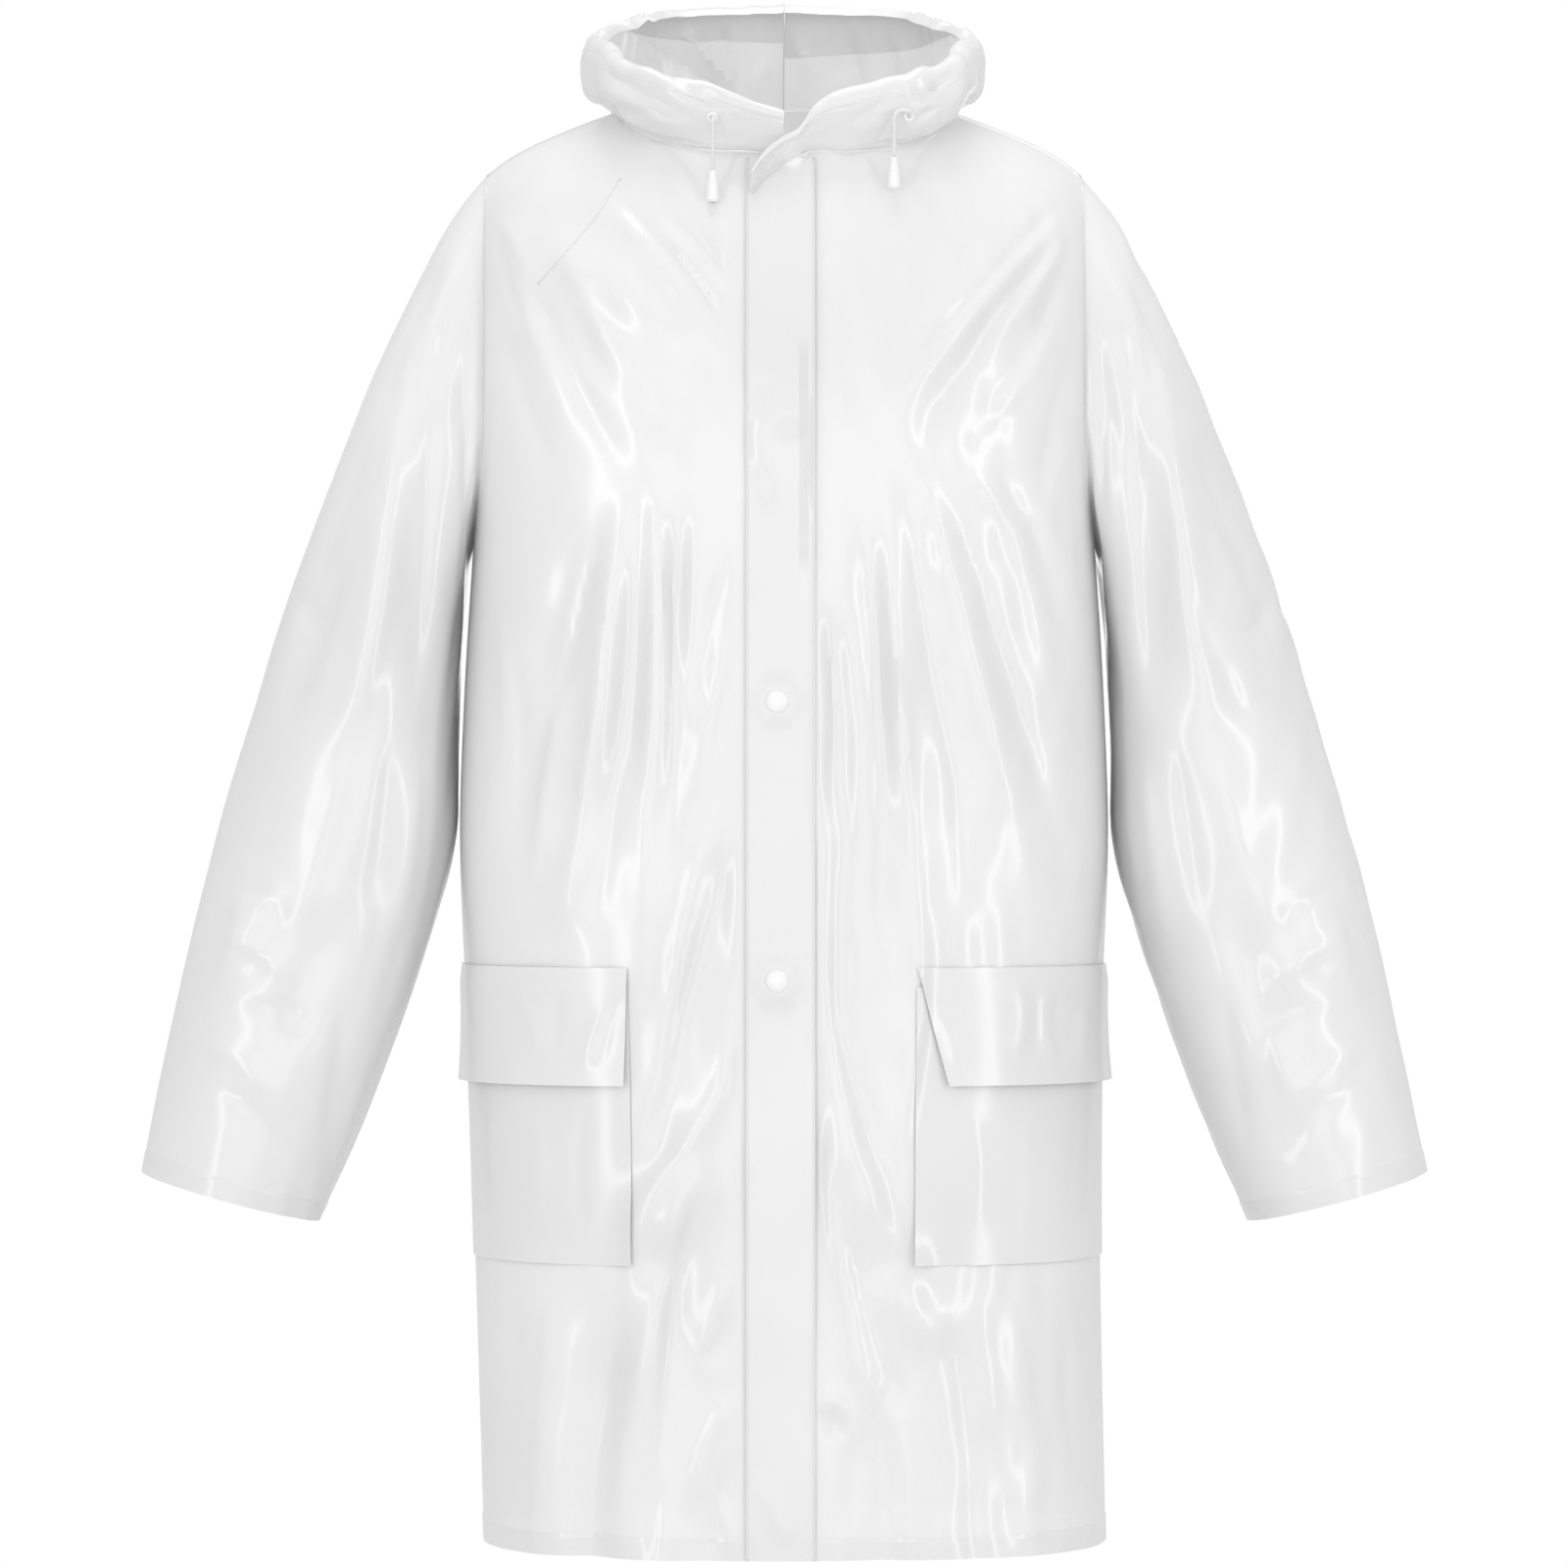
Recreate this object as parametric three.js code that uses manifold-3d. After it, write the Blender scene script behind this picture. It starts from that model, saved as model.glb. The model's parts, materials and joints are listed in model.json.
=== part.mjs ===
// A hooded raincoat of translucent white film, hollow and filled out as it hangs when worn.
// Millimetres. The front faces -Y, the wearer's left is +X, up is +Z, and the origin lies between
// the shoulders at the height where they carry the coat.
import * as THREE from "three";
import { mergeVertices } from "three/addons/utils/BufferGeometryUtils.js";
import Module from "manifold-3d";

// Film and seams
const WALL = 1.5; // thickness of every cloth wall
const SEAM = 0.3; // gap between two pieces at a seam
const FULLNESS = 2.8; // exponent of the body's rounded section: 2 is an ellipse, more is boxier

// Heights down the body
const UNDERARM = -303;
const POCKET_TOP = -619;
const POCKET_FLAP_BOTTOM = -701;
const POCKET_BOTTOM = -832;
const HEM = -1046;
const ZIP_BOTTOM = -322;
const ZIP_END_ROW = -324; // the fronts part down to here, and meet edge to edge below

// Neck and shoulders
const NECK_HALF = 122; // half the neck opening's width
const NECK_POINT = 26; // height where shoulder seam and neckline meet
const NECK_FRONT = -14; // height of the neckline at the front
const NECK_BACK = 31; // and at the back
const NECK_AXIS_Y = -25; // the neck opening's middle, front to back
const ARMHOLE_X = 224; // the armhole stands in this upright plane
const ARMHOLE_TURN = 0.3; // share of the armhole's height that rounds under the arm
const CHEST_ROUNDING = 2.5; // how long the chest stays full before it turns over the shoulder

// Front closure
const ZIP_X = 14.3; // the zip's middle
const CHAIN_HALF = 2.9; // half the width of its chain
const CHAIN_PROUD = 0.6; // the chain's height above the fronts
const TAPE_HALF = 15;
const TAPE = 0.8;
const BEHIND = -2.1; // the tape's face behind the fronts' outer face
const FLAP_FREE_EDGE = -27;
const FLAP_ROOT = 22; // where the storm flap is joined to the wearer's left front
const FLAP_TOP = -20;
const SNAP_X = -5;
const SNAP_HEIGHTS = [-421, -624];
const SNAP_CAP_RADIUS = 8;
const SNAP_STUD_RADIUS = 6;
const SNAP_STACK = 2.4; // height of stud and socket between front and flap
const SLIDER_Z = -218;
const SLIDER_PLATE = 1.2;
const PULL_LENGTH = 26;
const PULL_HALF = 4.5;
const PULL_THICK = 1;
const PULL_EYE = 1.5; // radius of the eye, round a post of the slider
const POST_RADIUS = 1.1;
const PULL_SWING = 29; // how far below level the pull points, in degrees
const RUNNING = 0.3; // clearance of what moves on the slider

// Pockets: their inner edges as fractional columns of the front panels
const POCKET_EDGES = { right: 3.7, left: 2.6 };
const POCKET_SIDE = 10.7;
const POCKET_FLAP_SIDE = 10.9;
const POCKET_FLAP_SLANT = { right: 0.1, left: 0.8 }; // how far the flap's inner end slants, in columns
const POCKET_FLAP_SLANT_REACH = 2.4; // over how many columns the slant fades out
const POCKET_FLAP_FLARE = 5; // how far the flap's lower edge stands off

// Drawcord of the hood
const CORD_RADIUS = 1.6;
const EYELET_RADIUS = 4.2;
const BELL_TOP_RADIUS = 2.8;
const BELL_RADIUS = 5;
const BELL_LENGTH = 23;

// Grid of the cloth
const NECK_COLUMNS = 6; // columns of a half panel that end at the neckline
const COLUMNS = 11; // columns of a half panel
const ARMHOLE_ROWS = 11; // rows from underarm to shoulder
const SLEEVE_ROWS = 18;
const HOOD_ROWS = 8;
const HOOD_CLEAR = 3; // the least that the hood stands off the shoulders

// The body's outline, a row for each height: half its width, how far its middle lies off centre,
// and how far the front and back stand from the shoulder plane.
const BODY = [
  { z: UNDERARM, half: 234, shift: 0, front: 156, back: 148 },
  { z: -400, half: 240, shift: 0, front: 161, back: 153 },
  { z: -520, half: 244, shift: 0, front: 164, back: 158 },
  { z: -630, half: 240, shift: 0, front: 165, back: 161 },
  { z: -714, half: 237, shift: 1, front: 166, back: 163 },
  { z: -844, half: 235, shift: 3, front: 166, back: 165 },
  { z: HEM, half: 234, shift: 8, front: 167, back: 168 },
];

// The shoulder line, from the middle of the neck outwards.
const SHOULDER = [
  { x: 0, z: 38 },
  { x: 60, z: 36 },
  { x: NECK_HALF, z: NECK_POINT },
  { x: 160, z: 13 },
  { x: 200, z: -5 },
  { x: ARMHOLE_X, z: -22 },
];

// The sleeve's outline seen from the front, a row for each ring: its outer and inner ends, half its
// depth, and how far its middle swings forward.
const SLEEVE = [
  { at: 0, outX: 224, outZ: -22, inX: 234, inZ: -303, depth: 78, swing: 0 },
  { at: 0.06, outX: 249, outZ: -52, inX: 239, inZ: -320, depth: 86, swing: 0 },
  { at: 0.14, outX: 274, outZ: -98, inX: 241, inZ: -340, depth: 92, swing: 0 },
  { at: 0.25, outX: 304, outZ: -160, inX: 242, inZ: -366, depth: 94, swing: -2 },
  { at: 0.38, outX: 335, outZ: -237, inX: 244, inZ: -405, depth: 92, swing: -4 },
  { at: 0.52, outX: 372, outZ: -337, inX: 246, inZ: -462, depth: 88, swing: -7 },
  { at: 0.66, outX: 404, outZ: -441, inX: 248, inZ: -528, depth: 84, swing: -10 },
  { at: 0.8, outX: 434, outZ: -548, inX: 271, inZ: -610, depth: 80, swing: -14 },
  { at: 0.92, outX: 463, outZ: -675, inX: 311, inZ: -723, depth: 74, swing: -19 },
  { at: 1, outX: 482, outZ: -771, inX: 348, inZ: -808, depth: 68, swing: -24 },
];

// The thrown-back hood, a row for each direction round the neck (0 is the front, 180 the back).
// Each stretch of its section is given outwards and upwards from the neckline: where it leaves the
// neckline, its lowest fold, its widest bulge, its crest, and the edge of the face opening.
const HOOD = [
  { turn: 0, lowOut: 5, lowUp: 2, foldOut: 10, foldUp: 6,
    bulgeOut: 15, bulgeUp: 12, crestOut: 16, crestUp: 18, edgeOut: 13, edgeUp: 21 },
  { turn: 35, lowOut: 8, lowUp: 2, foldOut: 17, foldUp: 8,
    bulgeOut: 25, bulgeUp: 22, crestOut: 25, crestUp: 42, edgeOut: 20, edgeUp: 48 },
  { turn: 62, lowOut: 3, lowUp: 8, foldOut: 16, foldUp: 12,
    bulgeOut: 29, bulgeUp: 24, crestOut: 26, crestUp: 54, edgeOut: 15, edgeUp: 57 },
  { turn: 90, lowOut: 0, lowUp: 11, foldOut: 10, foldUp: 16,
    bulgeOut: 20, bulgeUp: 22, crestOut: 13, crestUp: 59, edgeOut: 2, edgeUp: 55 },
  { turn: 120, lowOut: 26, lowUp: -3, foldOut: 46, foldUp: -8,
    bulgeOut: 45, bulgeUp: 18, crestOut: 38, crestUp: 72, edgeOut: 25, edgeUp: 66 },
  { turn: 150, lowOut: 34, lowUp: -8, foldOut: 88, foldUp: -72,
    bulgeOut: 122, bulgeUp: -30, crestOut: 106, crestUp: 86, edgeOut: 90, edgeUp: 81 },
  { turn: 180, lowOut: 38, lowUp: -12, foldOut: 94, foldUp: -96,
    bulgeOut: 130, bulgeUp: -52, crestOut: 107, crestUp: 92, edgeOut: 91, edgeUp: 86 },
];

// The largest folds, from one point of a panel to another seen from the front or the back. A
// positive rise is a ridge and a negative one a valley, as wide as its width to each side.
const FRONT_FOLDS = [
  { x0: -139, z0: -285, x1: -193, z1: -450, width: 20, rise: -7 },
  { x0: -119, z0: -264, x1: -143, z1: -508, width: 15, rise: 8 },
  { x0: -143, z0: -508, x1: -172, z1: -600, width: 15, rise: 5 },
  { x0: -100, z0: -310, x1: -113, z1: -508, width: 13, rise: -6 },
  { x0: -88, z0: -262, x1: -90, z1: -500, width: 11, rise: 6 },
  { x0: -76, z0: -262, x1: -80, z1: -440, width: 12, rise: -6 },
  { x0: -48, z0: -745, x1: -98, z1: -830, width: 18, rise: 8 },
  { x0: -98, z0: -830, x1: -92, z1: HEM, width: 18, rise: 8 },
  { x0: -128, z0: -850, x1: -140, z1: HEM, width: 20, rise: -8 },
  { x0: 34, z0: -330, x1: 38, z1: -510, width: 13, rise: -6 },
  { x0: 58, z0: -268, x1: 74, z1: -510, width: 13, rise: -5 },
  { x0: 78, z0: -275, x1: 88, z1: -510, width: 12, rise: 7 },
  { x0: 105, z0: -262, x1: 178, z1: -510, width: 16, rise: 8 },
  { x0: 112, z0: -300, x1: 196, z1: -500, width: 14, rise: -6 },
  { x0: 32, z0: -705, x1: 76, z1: -832, width: 16, rise: 7 },
  { x0: 76, z0: -832, x1: 118, z1: -900, width: 16, rise: 7 },
  { x0: 60, z0: -900, x1: 72, z1: HEM, width: 20, rise: -7 },
  { x0: -195, z0: -60, x1: -52, z1: -175, width: 15, rise: 5 },
  { x0: -190, z0: -110, x1: -60, z1: -245, width: 16, rise: -5 },
  { x0: 200, z0: -55, x1: 72, z1: -200, width: 15, rise: 5 },
  { x0: 196, z0: -110, x1: 80, z1: -245, width: 16, rise: -5 },
];
const BACK_FOLDS = [
  { x0: -130, z0: -240, x1: -165, z1: -620, width: 22, rise: 8 },
  { x0: -80, z0: -280, x1: -95, z1: -900, width: 20, rise: -7 },
  { x0: -30, z0: -330, x1: -45, z1: HEM, width: 18, rise: 7 },
  { x0: 25, z0: -300, x1: 30, z1: -840, width: 18, rise: -7 },
  { x0: 70, z0: -260, x1: 95, z1: HEM, width: 20, rise: 8 },
  { x0: 135, z0: -250, x1: 160, z1: -760, width: 22, rise: -7 },
  { x0: -190, z0: -70, x1: -70, z1: -230, width: 16, rise: 5 },
  { x0: 190, z0: -70, x1: 70, z1: -230, width: 16, rise: 5 },
];
const SLEEVE_FOLDS = [
  { x0: 328, z0: -303, x1: 384, z1: -451, width: 13, rise: -7 },
  { x0: 266, z0: -185, x1: 281, z1: -451, width: 14, rise: -7 },
  { x0: 290, z0: -200, x1: 318, z1: -470, width: 14, rise: 6 },
  { x0: 372, z0: -540, x1: 430, z1: -640, width: 14, rise: 6 },
  { x0: 330, z0: -560, x1: 372, z1: -690, width: 14, rise: -6 },
];

// Small arithmetic
const mix = (a, b, t) => a + (b - a) * t;
const limit = (v, low, high) => Math.min(high, Math.max(low, v));
const rad = THREE.MathUtils.degToRad;
const ease = (t) => t * t * (3 - 2 * t);
const P = (x, y, z) => new THREE.Vector3(x, y, z);

// A named column of a table as a smooth function of another column, which must rise row by row.
function smooth(table, key, column) {
  const n = table.length;
  const slope = table.map((_, i) => {
    const a = table[Math.max(i - 1, 0)];
    const b = table[Math.min(i + 1, n - 1)];
    return (b[column] - a[column]) / (b[key] - a[key]);
  });
  return (v) => {
    const k = limit(table.findIndex((row) => row[key] > v) - 1, 0, n - 2);
    const last = v >= table[n - 1][key] ? n - 2 : k;
    const a = table[last];
    const b = table[last + 1];
    const span = b[key] - a[key];
    const t = limit((v - a[key]) / span, 0, 1);
    return (
      (2 * t ** 3 - 3 * t ** 2 + 1) * a[column] + (t ** 3 - 2 * t ** 2 + t) * span * slope[last] +
      (3 * t ** 2 - 2 * t ** 3) * b[column] + (t ** 3 - t ** 2) * span * slope[last + 1]
    );
  };
}

const downwards = BODY.map((row) => ({ ...row, drop: -row.z }));
const bodyHalf = smooth(downwards, "drop", "half");
const bodyShift = smooth(downwards, "drop", "shift");
const bodyDepth = {
  front: smooth(downwards, "drop", "front"),
  back: smooth(downwards, "drop", "back"),
};
const shoulder = smooth(SHOULDER, "x", "z");

// How far the folds of a table lift the cloth at a point seen from the front.
function foldRise(folds, x, z) {
  let rise = 0;
  for (const f of folds) {
    const dx = f.x1 - f.x0;
    const dz = f.z1 - f.z0;
    const t = limit(((x - f.x0) * dx + (z - f.z0) * dz) / (dx * dx + dz * dz), 0, 1);
    const away = Math.hypot(x - f.x0 - t * dx, z - f.z0 - t * dz) / f.width;
    rise += f.rise * Math.exp(-away * away);
  }
  return rise;
}

// The body's distance from the shoulder plane at a place and height, front or back. It is a rounded
// section below the arms and turns over to nothing at the shoulder line above them.
function depthAt(face, x, z) {
  const low = Math.min(z, UNDERARM);
  const half = bodyHalf(-low);
  const across = limit(Math.abs(x - bodyShift(-low)) / half, 0, 1);
  const section = bodyDepth[face](-low) * (1 - across ** FULLNESS) ** (1 / FULLNESS);
  if (z <= UNDERARM) return section;
  const up = limit((z - UNDERARM) / (shoulder(Math.abs(x)) - UNDERARM), 0, 1);
  return section * Math.sqrt(1 - up ** CHEST_ROUNDING);
}

// Folds fade out beside the closure, towards the side seams and at the shoulder.
function foldedDepth(face, x, z) {
  const folds = face === "front" ? FRONT_FOLDS : BACK_FOLDS;
  const side = 1 - limit(Math.abs(x) / 232, 0, 1) ** 8;
  const closure = face === "front" ? ease(limit((Math.abs(x + 4) - 26) / 16, 0, 1)) : 1;
  const top = ease(limit((shoulder(Math.abs(x)) - 12 - z) / 60, 0, 1));
  return depthAt(face, x, z) + foldRise(folds, x, z) * side * closure * top;
}

// Heights of the rows below the underarm, so that rows lie on the pockets' edges and the hem.
function rowsBetween(...stretches) {
  const heights = [];
  for (const [from, to, count] of stretches)
    for (let i = 1; i <= count; i++) heights.push(mix(from, to, i / count));
  return heights;
}
const LOWER_ROWS = rowsBetween(
  [UNDERARM, ZIP_END_ROW, 1],
  [ZIP_END_ROW, POCKET_TOP, 8],
  [POCKET_TOP, POCKET_FLAP_BOTTOM, 3],
  [POCKET_FLAP_BOTTOM, POCKET_BOTTOM, 4],
  [POCKET_BOTTOM, HEM, 6],
);

// Where the armhole's edge stands at a share of its height: it is upright above and rounds in to
// the side seam under the arm.
function armholeX(face, share) {
  if (share >= ARMHOLE_TURN) return ARMHOLE_X;
  const z = (s) => mix(UNDERARM, shoulder(ARMHOLE_X), s);
  const widest = depthAt(face, ARMHOLE_X, z(ARMHOLE_TURN));
  const y = widest * Math.sqrt(1 - (1 - share / ARMHOLE_TURN) ** 2);
  const fullDepth = bodyDepth[face](-UNDERARM) * Math.sqrt(1 - share ** CHEST_ROUNDING);
  return bodyHalf(-UNDERARM) * (1 - (y / fullDepth) ** FULLNESS) ** (1 / FULLNESS);
}

// The points of half a body panel: rows from the shoulder and neckline down to the hem, columns from
// its centre edge out to the armhole and side seam. side is -1 or 1, and face is front or back.
function panelPoints(face, side, edgeAt) {
  const toward = face === "front" ? -1 : 1;
  const neckMiddle = face === "front" ? NECK_FRONT : NECK_BACK;
  const place = (x, z) => P(x, toward * Math.max(foldedDepth(face, x, z), SEAM / 2), z);
  const rows = [];
  const centreEdge = edgeAt(UNDERARM);
  for (let j = ARMHOLE_ROWS; j >= 0; j--) {
    const share = Math.sin(rad((90 * j) / ARMHOLE_ROWS));
    const row = [];
    for (let i = 0; i <= COLUMNS; i++) {
      const turn = rad(90 * Math.min(i / NECK_COLUMNS, 1) ** 0.85);
      const out = (i - NECK_COLUMNS) / (COLUMNS - NECK_COLUMNS);
      const topX = i <= NECK_COLUMNS
        ? mix(centreEdge, side * NECK_HALF, Math.sin(turn))
        : side * mix(NECK_HALF, ARMHOLE_X, out);
      const topZ = i <= NECK_COLUMNS
        ? mix(neckMiddle, NECK_POINT, (1 - Math.cos(turn)) ** 1.6)
        : shoulder(Math.abs(topX));
      const lowX = mix(centreEdge, side * armholeX(face, share), Math.sin(rad((90 * i) / COLUMNS)));
      const x = mix(lowX, topX, share ** 3);
      const height = (topZ - UNDERARM) / (shoulder(Math.abs(topX)) - UNDERARM);
      const z = mix(UNDERARM, shoulder(Math.abs(x)), share * height);
      row.push(place(x, z));
    }
    rows.push(row);
  }
  for (const z of LOWER_ROWS) {
    const seamX = bodyShift(-z) + side * bodyHalf(-z);
    const row = [];
    for (let i = 0; i <= COLUMNS; i++)
      row.push(place(mix(edgeAt(z), seamX, Math.sin(rad((90 * i) / COLUMNS))), z));
    rows.push(row);
  }
  return rows;
}

// Unit normals of a grid of points, by the directions along its rows and columns.
function normalsOf(grid, closed, outward) {
  return grid.map((row, r) =>
    row.map((_, c) => {
      const n = row.length;
      const left = closed ? row[(c - 1 + n) % n] : row[Math.max(c - 1, 0)];
      const right = closed ? row[(c + 1) % n] : row[Math.min(c + 1, n - 1)];
      const above = grid[Math.max(r - 1, 0)][c];
      const below = grid[Math.min(r + 1, grid.length - 1)][c];
      const normal = right.clone().sub(left).cross(below.clone().sub(above)).normalize();
      return normal.multiplyScalar(outward);
    }),
  );
}

const movedOut = (grid, normals, distance) =>
  grid.map((row, r) => row.map((p, c) => p.clone().addScaledVector(normals[r][c], distance)));

// A closed mesh between an outer and an inner grid of points. A closed grid runs round a tube.
function wallMesh(name, outer, inner, closed, material) {
  const columns = outer[0].length;
  const rows = outer.length;
  const points = [...outer.flat(), ...inner.flat()];
  const half = rows * columns;
  const faces = [];
  const quad = (a, b, c, d) => faces.push([a, b, c], [a, c, d]);
  const spans = closed ? columns : columns - 1;
  for (let r = 0; r < rows - 1; r++)
    for (let c = 0; c < spans; c++) {
      const next = (c + 1) % columns;
      const [a, b] = [r * columns + c, r * columns + next];
      const [d, e] = [a + columns, b + columns];
      quad(a, b, e, d);
      quad(half + a, half + d, half + e, half + b);
    }
  const last = (rows - 1) * columns;
  for (let c = 0; c < spans; c++) {
    const next = (c + 1) % columns;
    quad(c, half + c, half + next, next);
    quad(last + c, last + next, half + last + next, half + last + c);
  }
  if (!closed)
    for (let r = 0; r < rows - 1; r++) {
      const [a, d] = [r * columns, (r + 1) * columns];
      quad(a, d, half + d, half + a);
      quad(a + columns - 1, half + a + columns - 1, half + d + columns - 1, d + columns - 1);
    }
  let volume = 0;
  for (const [a, b, c] of faces) volume += points[a].dot(points[b].clone().cross(points[c]));
  const position = new Float32Array(faces.length * 9);
  faces.forEach((face, f) => {
    const order = volume > 0 ? face : [face[0], face[2], face[1]];
    order.forEach((p, k) => points[p].toArray(position, f * 9 + k * 3));
  });
  const geometry = new THREE.BufferGeometry();
  geometry.setAttribute("position", new THREE.BufferAttribute(position, 3));
  geometry.computeVertexNormals();
  const mesh = new THREE.Mesh(geometry, material);
  mesh.name = name;
  return mesh;
}

// Materials
const film = new THREE.MeshStandardMaterial({ color: 0xf1f1f0, roughness: 0.25, metalness: 0 });
const whitePlastic = new THREE.MeshStandardMaterial({ color: 0xf6f6f4, roughness: 0.35, metalness: 0 });
const cordWhite = new THREE.MeshStandardMaterial({ color: 0xf2f2ee, roughness: 0.8, metalness: 0 });

const coat = new THREE.Group();
coat.name = "raincoat";

// Body panels. The fronts stop short of the zip, and everything stays SEAM apart.
const zipSide = (side) => ZIP_X + side * (CHAIN_HALF + SEAM);
const frontEdge = (side) => (z) => (z >= ZIP_END_ROW ? zipSide(side) : ZIP_X + (side * SEAM) / 2);
const backCentre = () => 0;
function bodyPanel(face, side, edgeAt) {
  const outer = panelPoints(face, side, edgeAt);
  const toward = face === "front" ? -1 : 1;
  const normals = normalsOf(outer, false, side * toward);
  for (const n of normals[0]) n.set(0, n.y, Math.abs(n.z)).normalize();
  const inner = movedOut(outer, normals, -WALL);
  for (const p of inner.flat()) p.y = toward * Math.max(toward * p.y, SEAM / 2);
  return { outer, inner, normals };
}
const frontRight = bodyPanel("front", -1, frontEdge(-1));
const frontLeft = bodyPanel("front", 1, frontEdge(1));
const backRight = bodyPanel("back", -1, backCentre);
const backLeft = bodyPanel("back", 1, backCentre);

coat.add(wallMesh("front_right", frontRight.outer, frontRight.inner, false, film));
coat.add(wallMesh("front_left", frontLeft.outer, frontLeft.inner, false, film));

// The back is one piece: its two halves share the centre column.
const joinHalves = (right, left) => right.map((row, r) => [...row.slice(1).reverse(), ...left[r]]);
const backOuter = joinHalves(backRight.outer, backLeft.outer);
const backInner = joinHalves(backRight.inner, backLeft.inner);
coat.add(wallMesh("back", backOuter, backInner, false, film));

// Sleeves. The first ring takes its points from the armhole's edge, so both keep the same shape.
function armholeEdge(front, back) {
  const edge = [];
  for (let j = 0; j <= ARMHOLE_ROWS; j++) edge.push(front.outer[j][COLUMNS]);
  for (let j = ARMHOLE_ROWS - 1; j > 0; j--) edge.push(back.outer[j][COLUMNS]);
  return edge;
}
const sleeveColumn = Object.fromEntries(
  ["outX", "outZ", "inX", "inZ", "depth", "swing"].map((c) => [c, smooth(SLEEVE, "at", c)]),
);
function sleevePoints(side, edge) {
  const count = edge.length;
  const top = SLEEVE[0];
  const rings = [];
  for (let k = 0; k <= SLEEVE_ROWS; k++) {
    const at = (k / SLEEVE_ROWS) ** 1.15;
    const s = Object.fromEntries(Object.entries(sleeveColumn).map(([c, f]) => [c, f(at)]));
    const fromEdge = 1 - ease(limit(at / 0.3, 0, 1));
    const ring = edge.map((start, j) => {
      const turn = (2 * Math.PI * j) / count;
      const outward = (1 + Math.cos(turn)) / 2;
      const y = s.swing - s.depth * Math.sin(turn);
      const x = mix(s.inX, s.outX, outward);
      const z = mix(s.inZ, s.outZ, outward);
      const rise = foldRise(SLEEVE_FOLDS, x, z) * Math.abs(Math.sin(turn)) * Math.sign(-Math.sin(turn));
      const free = P(side * x, y + rise, z);
      if (k === 0) return start.clone().add(P(side * SEAM, 0, 0));
      const planned = P(side * mix(top.inX, top.outX, outward), -top.depth * Math.sin(turn),
        mix(top.inZ, top.outZ, outward));
      return free.addScaledVector(start.clone().sub(planned), fromEdge);
    });
    rings.push(ring);
  }
  return rings;
}
function sleeve(name, side, front, back) {
  const outer = sleevePoints(side, armholeEdge(front, back));
  const normals = normalsOf(outer, true, side);
  const inner = movedOut(outer, normals, -WALL);
  inner[0].forEach((p, j) => {
    p.x = side * Math.max(side * p.x, side * outer[0][j].x);
  });
  coat.add(wallMesh(name, outer, inner, true, film));
}
sleeve("sleeve_right", -1, frontRight, backRight);
sleeve("sleeve_left", 1, frontLeft, backLeft);

// A point of a grid at a fractional row and column.
function between(grid, row, column) {
  const r = limit(Math.floor(row), 0, grid.length - 2);
  const c = limit(Math.floor(column), 0, grid[0].length - 2);
  const upper = grid[r][c].clone().lerp(grid[r][c + 1], column - c);
  return upper.lerp(grid[r + 1][c].clone().lerp(grid[r + 1][c + 1], column - c), row - r);
}

// A point on a front panel, moved out from its cloth by a lift.
function onPanel(panel, row, column, lift) {
  const normal = between(panel.normals, row, column).normalize();
  return between(panel.outer, row, column).addScaledVector(normal, lift);
}

// The fractional row of a panel at a height, along one of its columns.
function rowAt(panel, column, z) {
  const heights = panel.outer.map((_, r) => between(panel.outer, r, column).z);
  const below = heights.findIndex((h) => h < z);
  const r = below < 1 ? heights.length - 2 : below - 1;
  return r + (heights[r] - z) / (heights[r] - heights[r + 1]);
}

// A point over the closure at a place across it and a height. Between the fronts it lies on the line
// from one edge to the other.
function onFront(x, z, lift) {
  const panel = x > ZIP_X ? frontLeft : frontRight;
  const row = rowAt(panel, 0, z);
  const [a, b] = [between(panel.outer, row, 0), between(panel.outer, row, 1)];
  const column = (x - a.x) / (b.x - a.x);
  return onPanel(panel, row, Math.max(column, 0), lift).setX(x);
}

// A wall that lies on a piece: a grid of rows and columns of places, with a lift for its inner face.
function layer(name, rows, columns, place, thickness, material) {
  const inner = rows.map((row) => columns.map((column) => place(row, column, 0)));
  const outer = rows.map((row) => columns.map((column) => place(row, column, thickness)));
  coat.add(wallMesh(name, outer, inner, false, material));
}

// Zip: the tape lies behind the fronts, and the chain stands through the gap between them.
const zipProfile = [
  { x: ZIP_X - TAPE_HALF, lift: BEHIND },
  { x: ZIP_X - CHAIN_HALF, lift: BEHIND },
  { x: ZIP_X - CHAIN_HALF + 0.05, lift: CHAIN_PROUD },
  { x: ZIP_X + CHAIN_HALF - 0.05, lift: CHAIN_PROUD },
  { x: ZIP_X + CHAIN_HALF, lift: BEHIND },
  { x: ZIP_X + TAPE_HALF, lift: BEHIND },
];
const panelRowHeights = (top, bottom) => {
  const within = frontRight.outer.map((row) => row[0].z).filter((z) => z < top - 2 && z > bottom + 2);
  return [top, ...within, bottom];
};
layer("zip", panelRowHeights(NECK_FRONT - 4, ZIP_BOTTOM), zipProfile,
  (z, { x, lift }, out) => onFront(x, z, out ? lift : BEHIND - TAPE), TAPE, whitePlastic);

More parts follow.
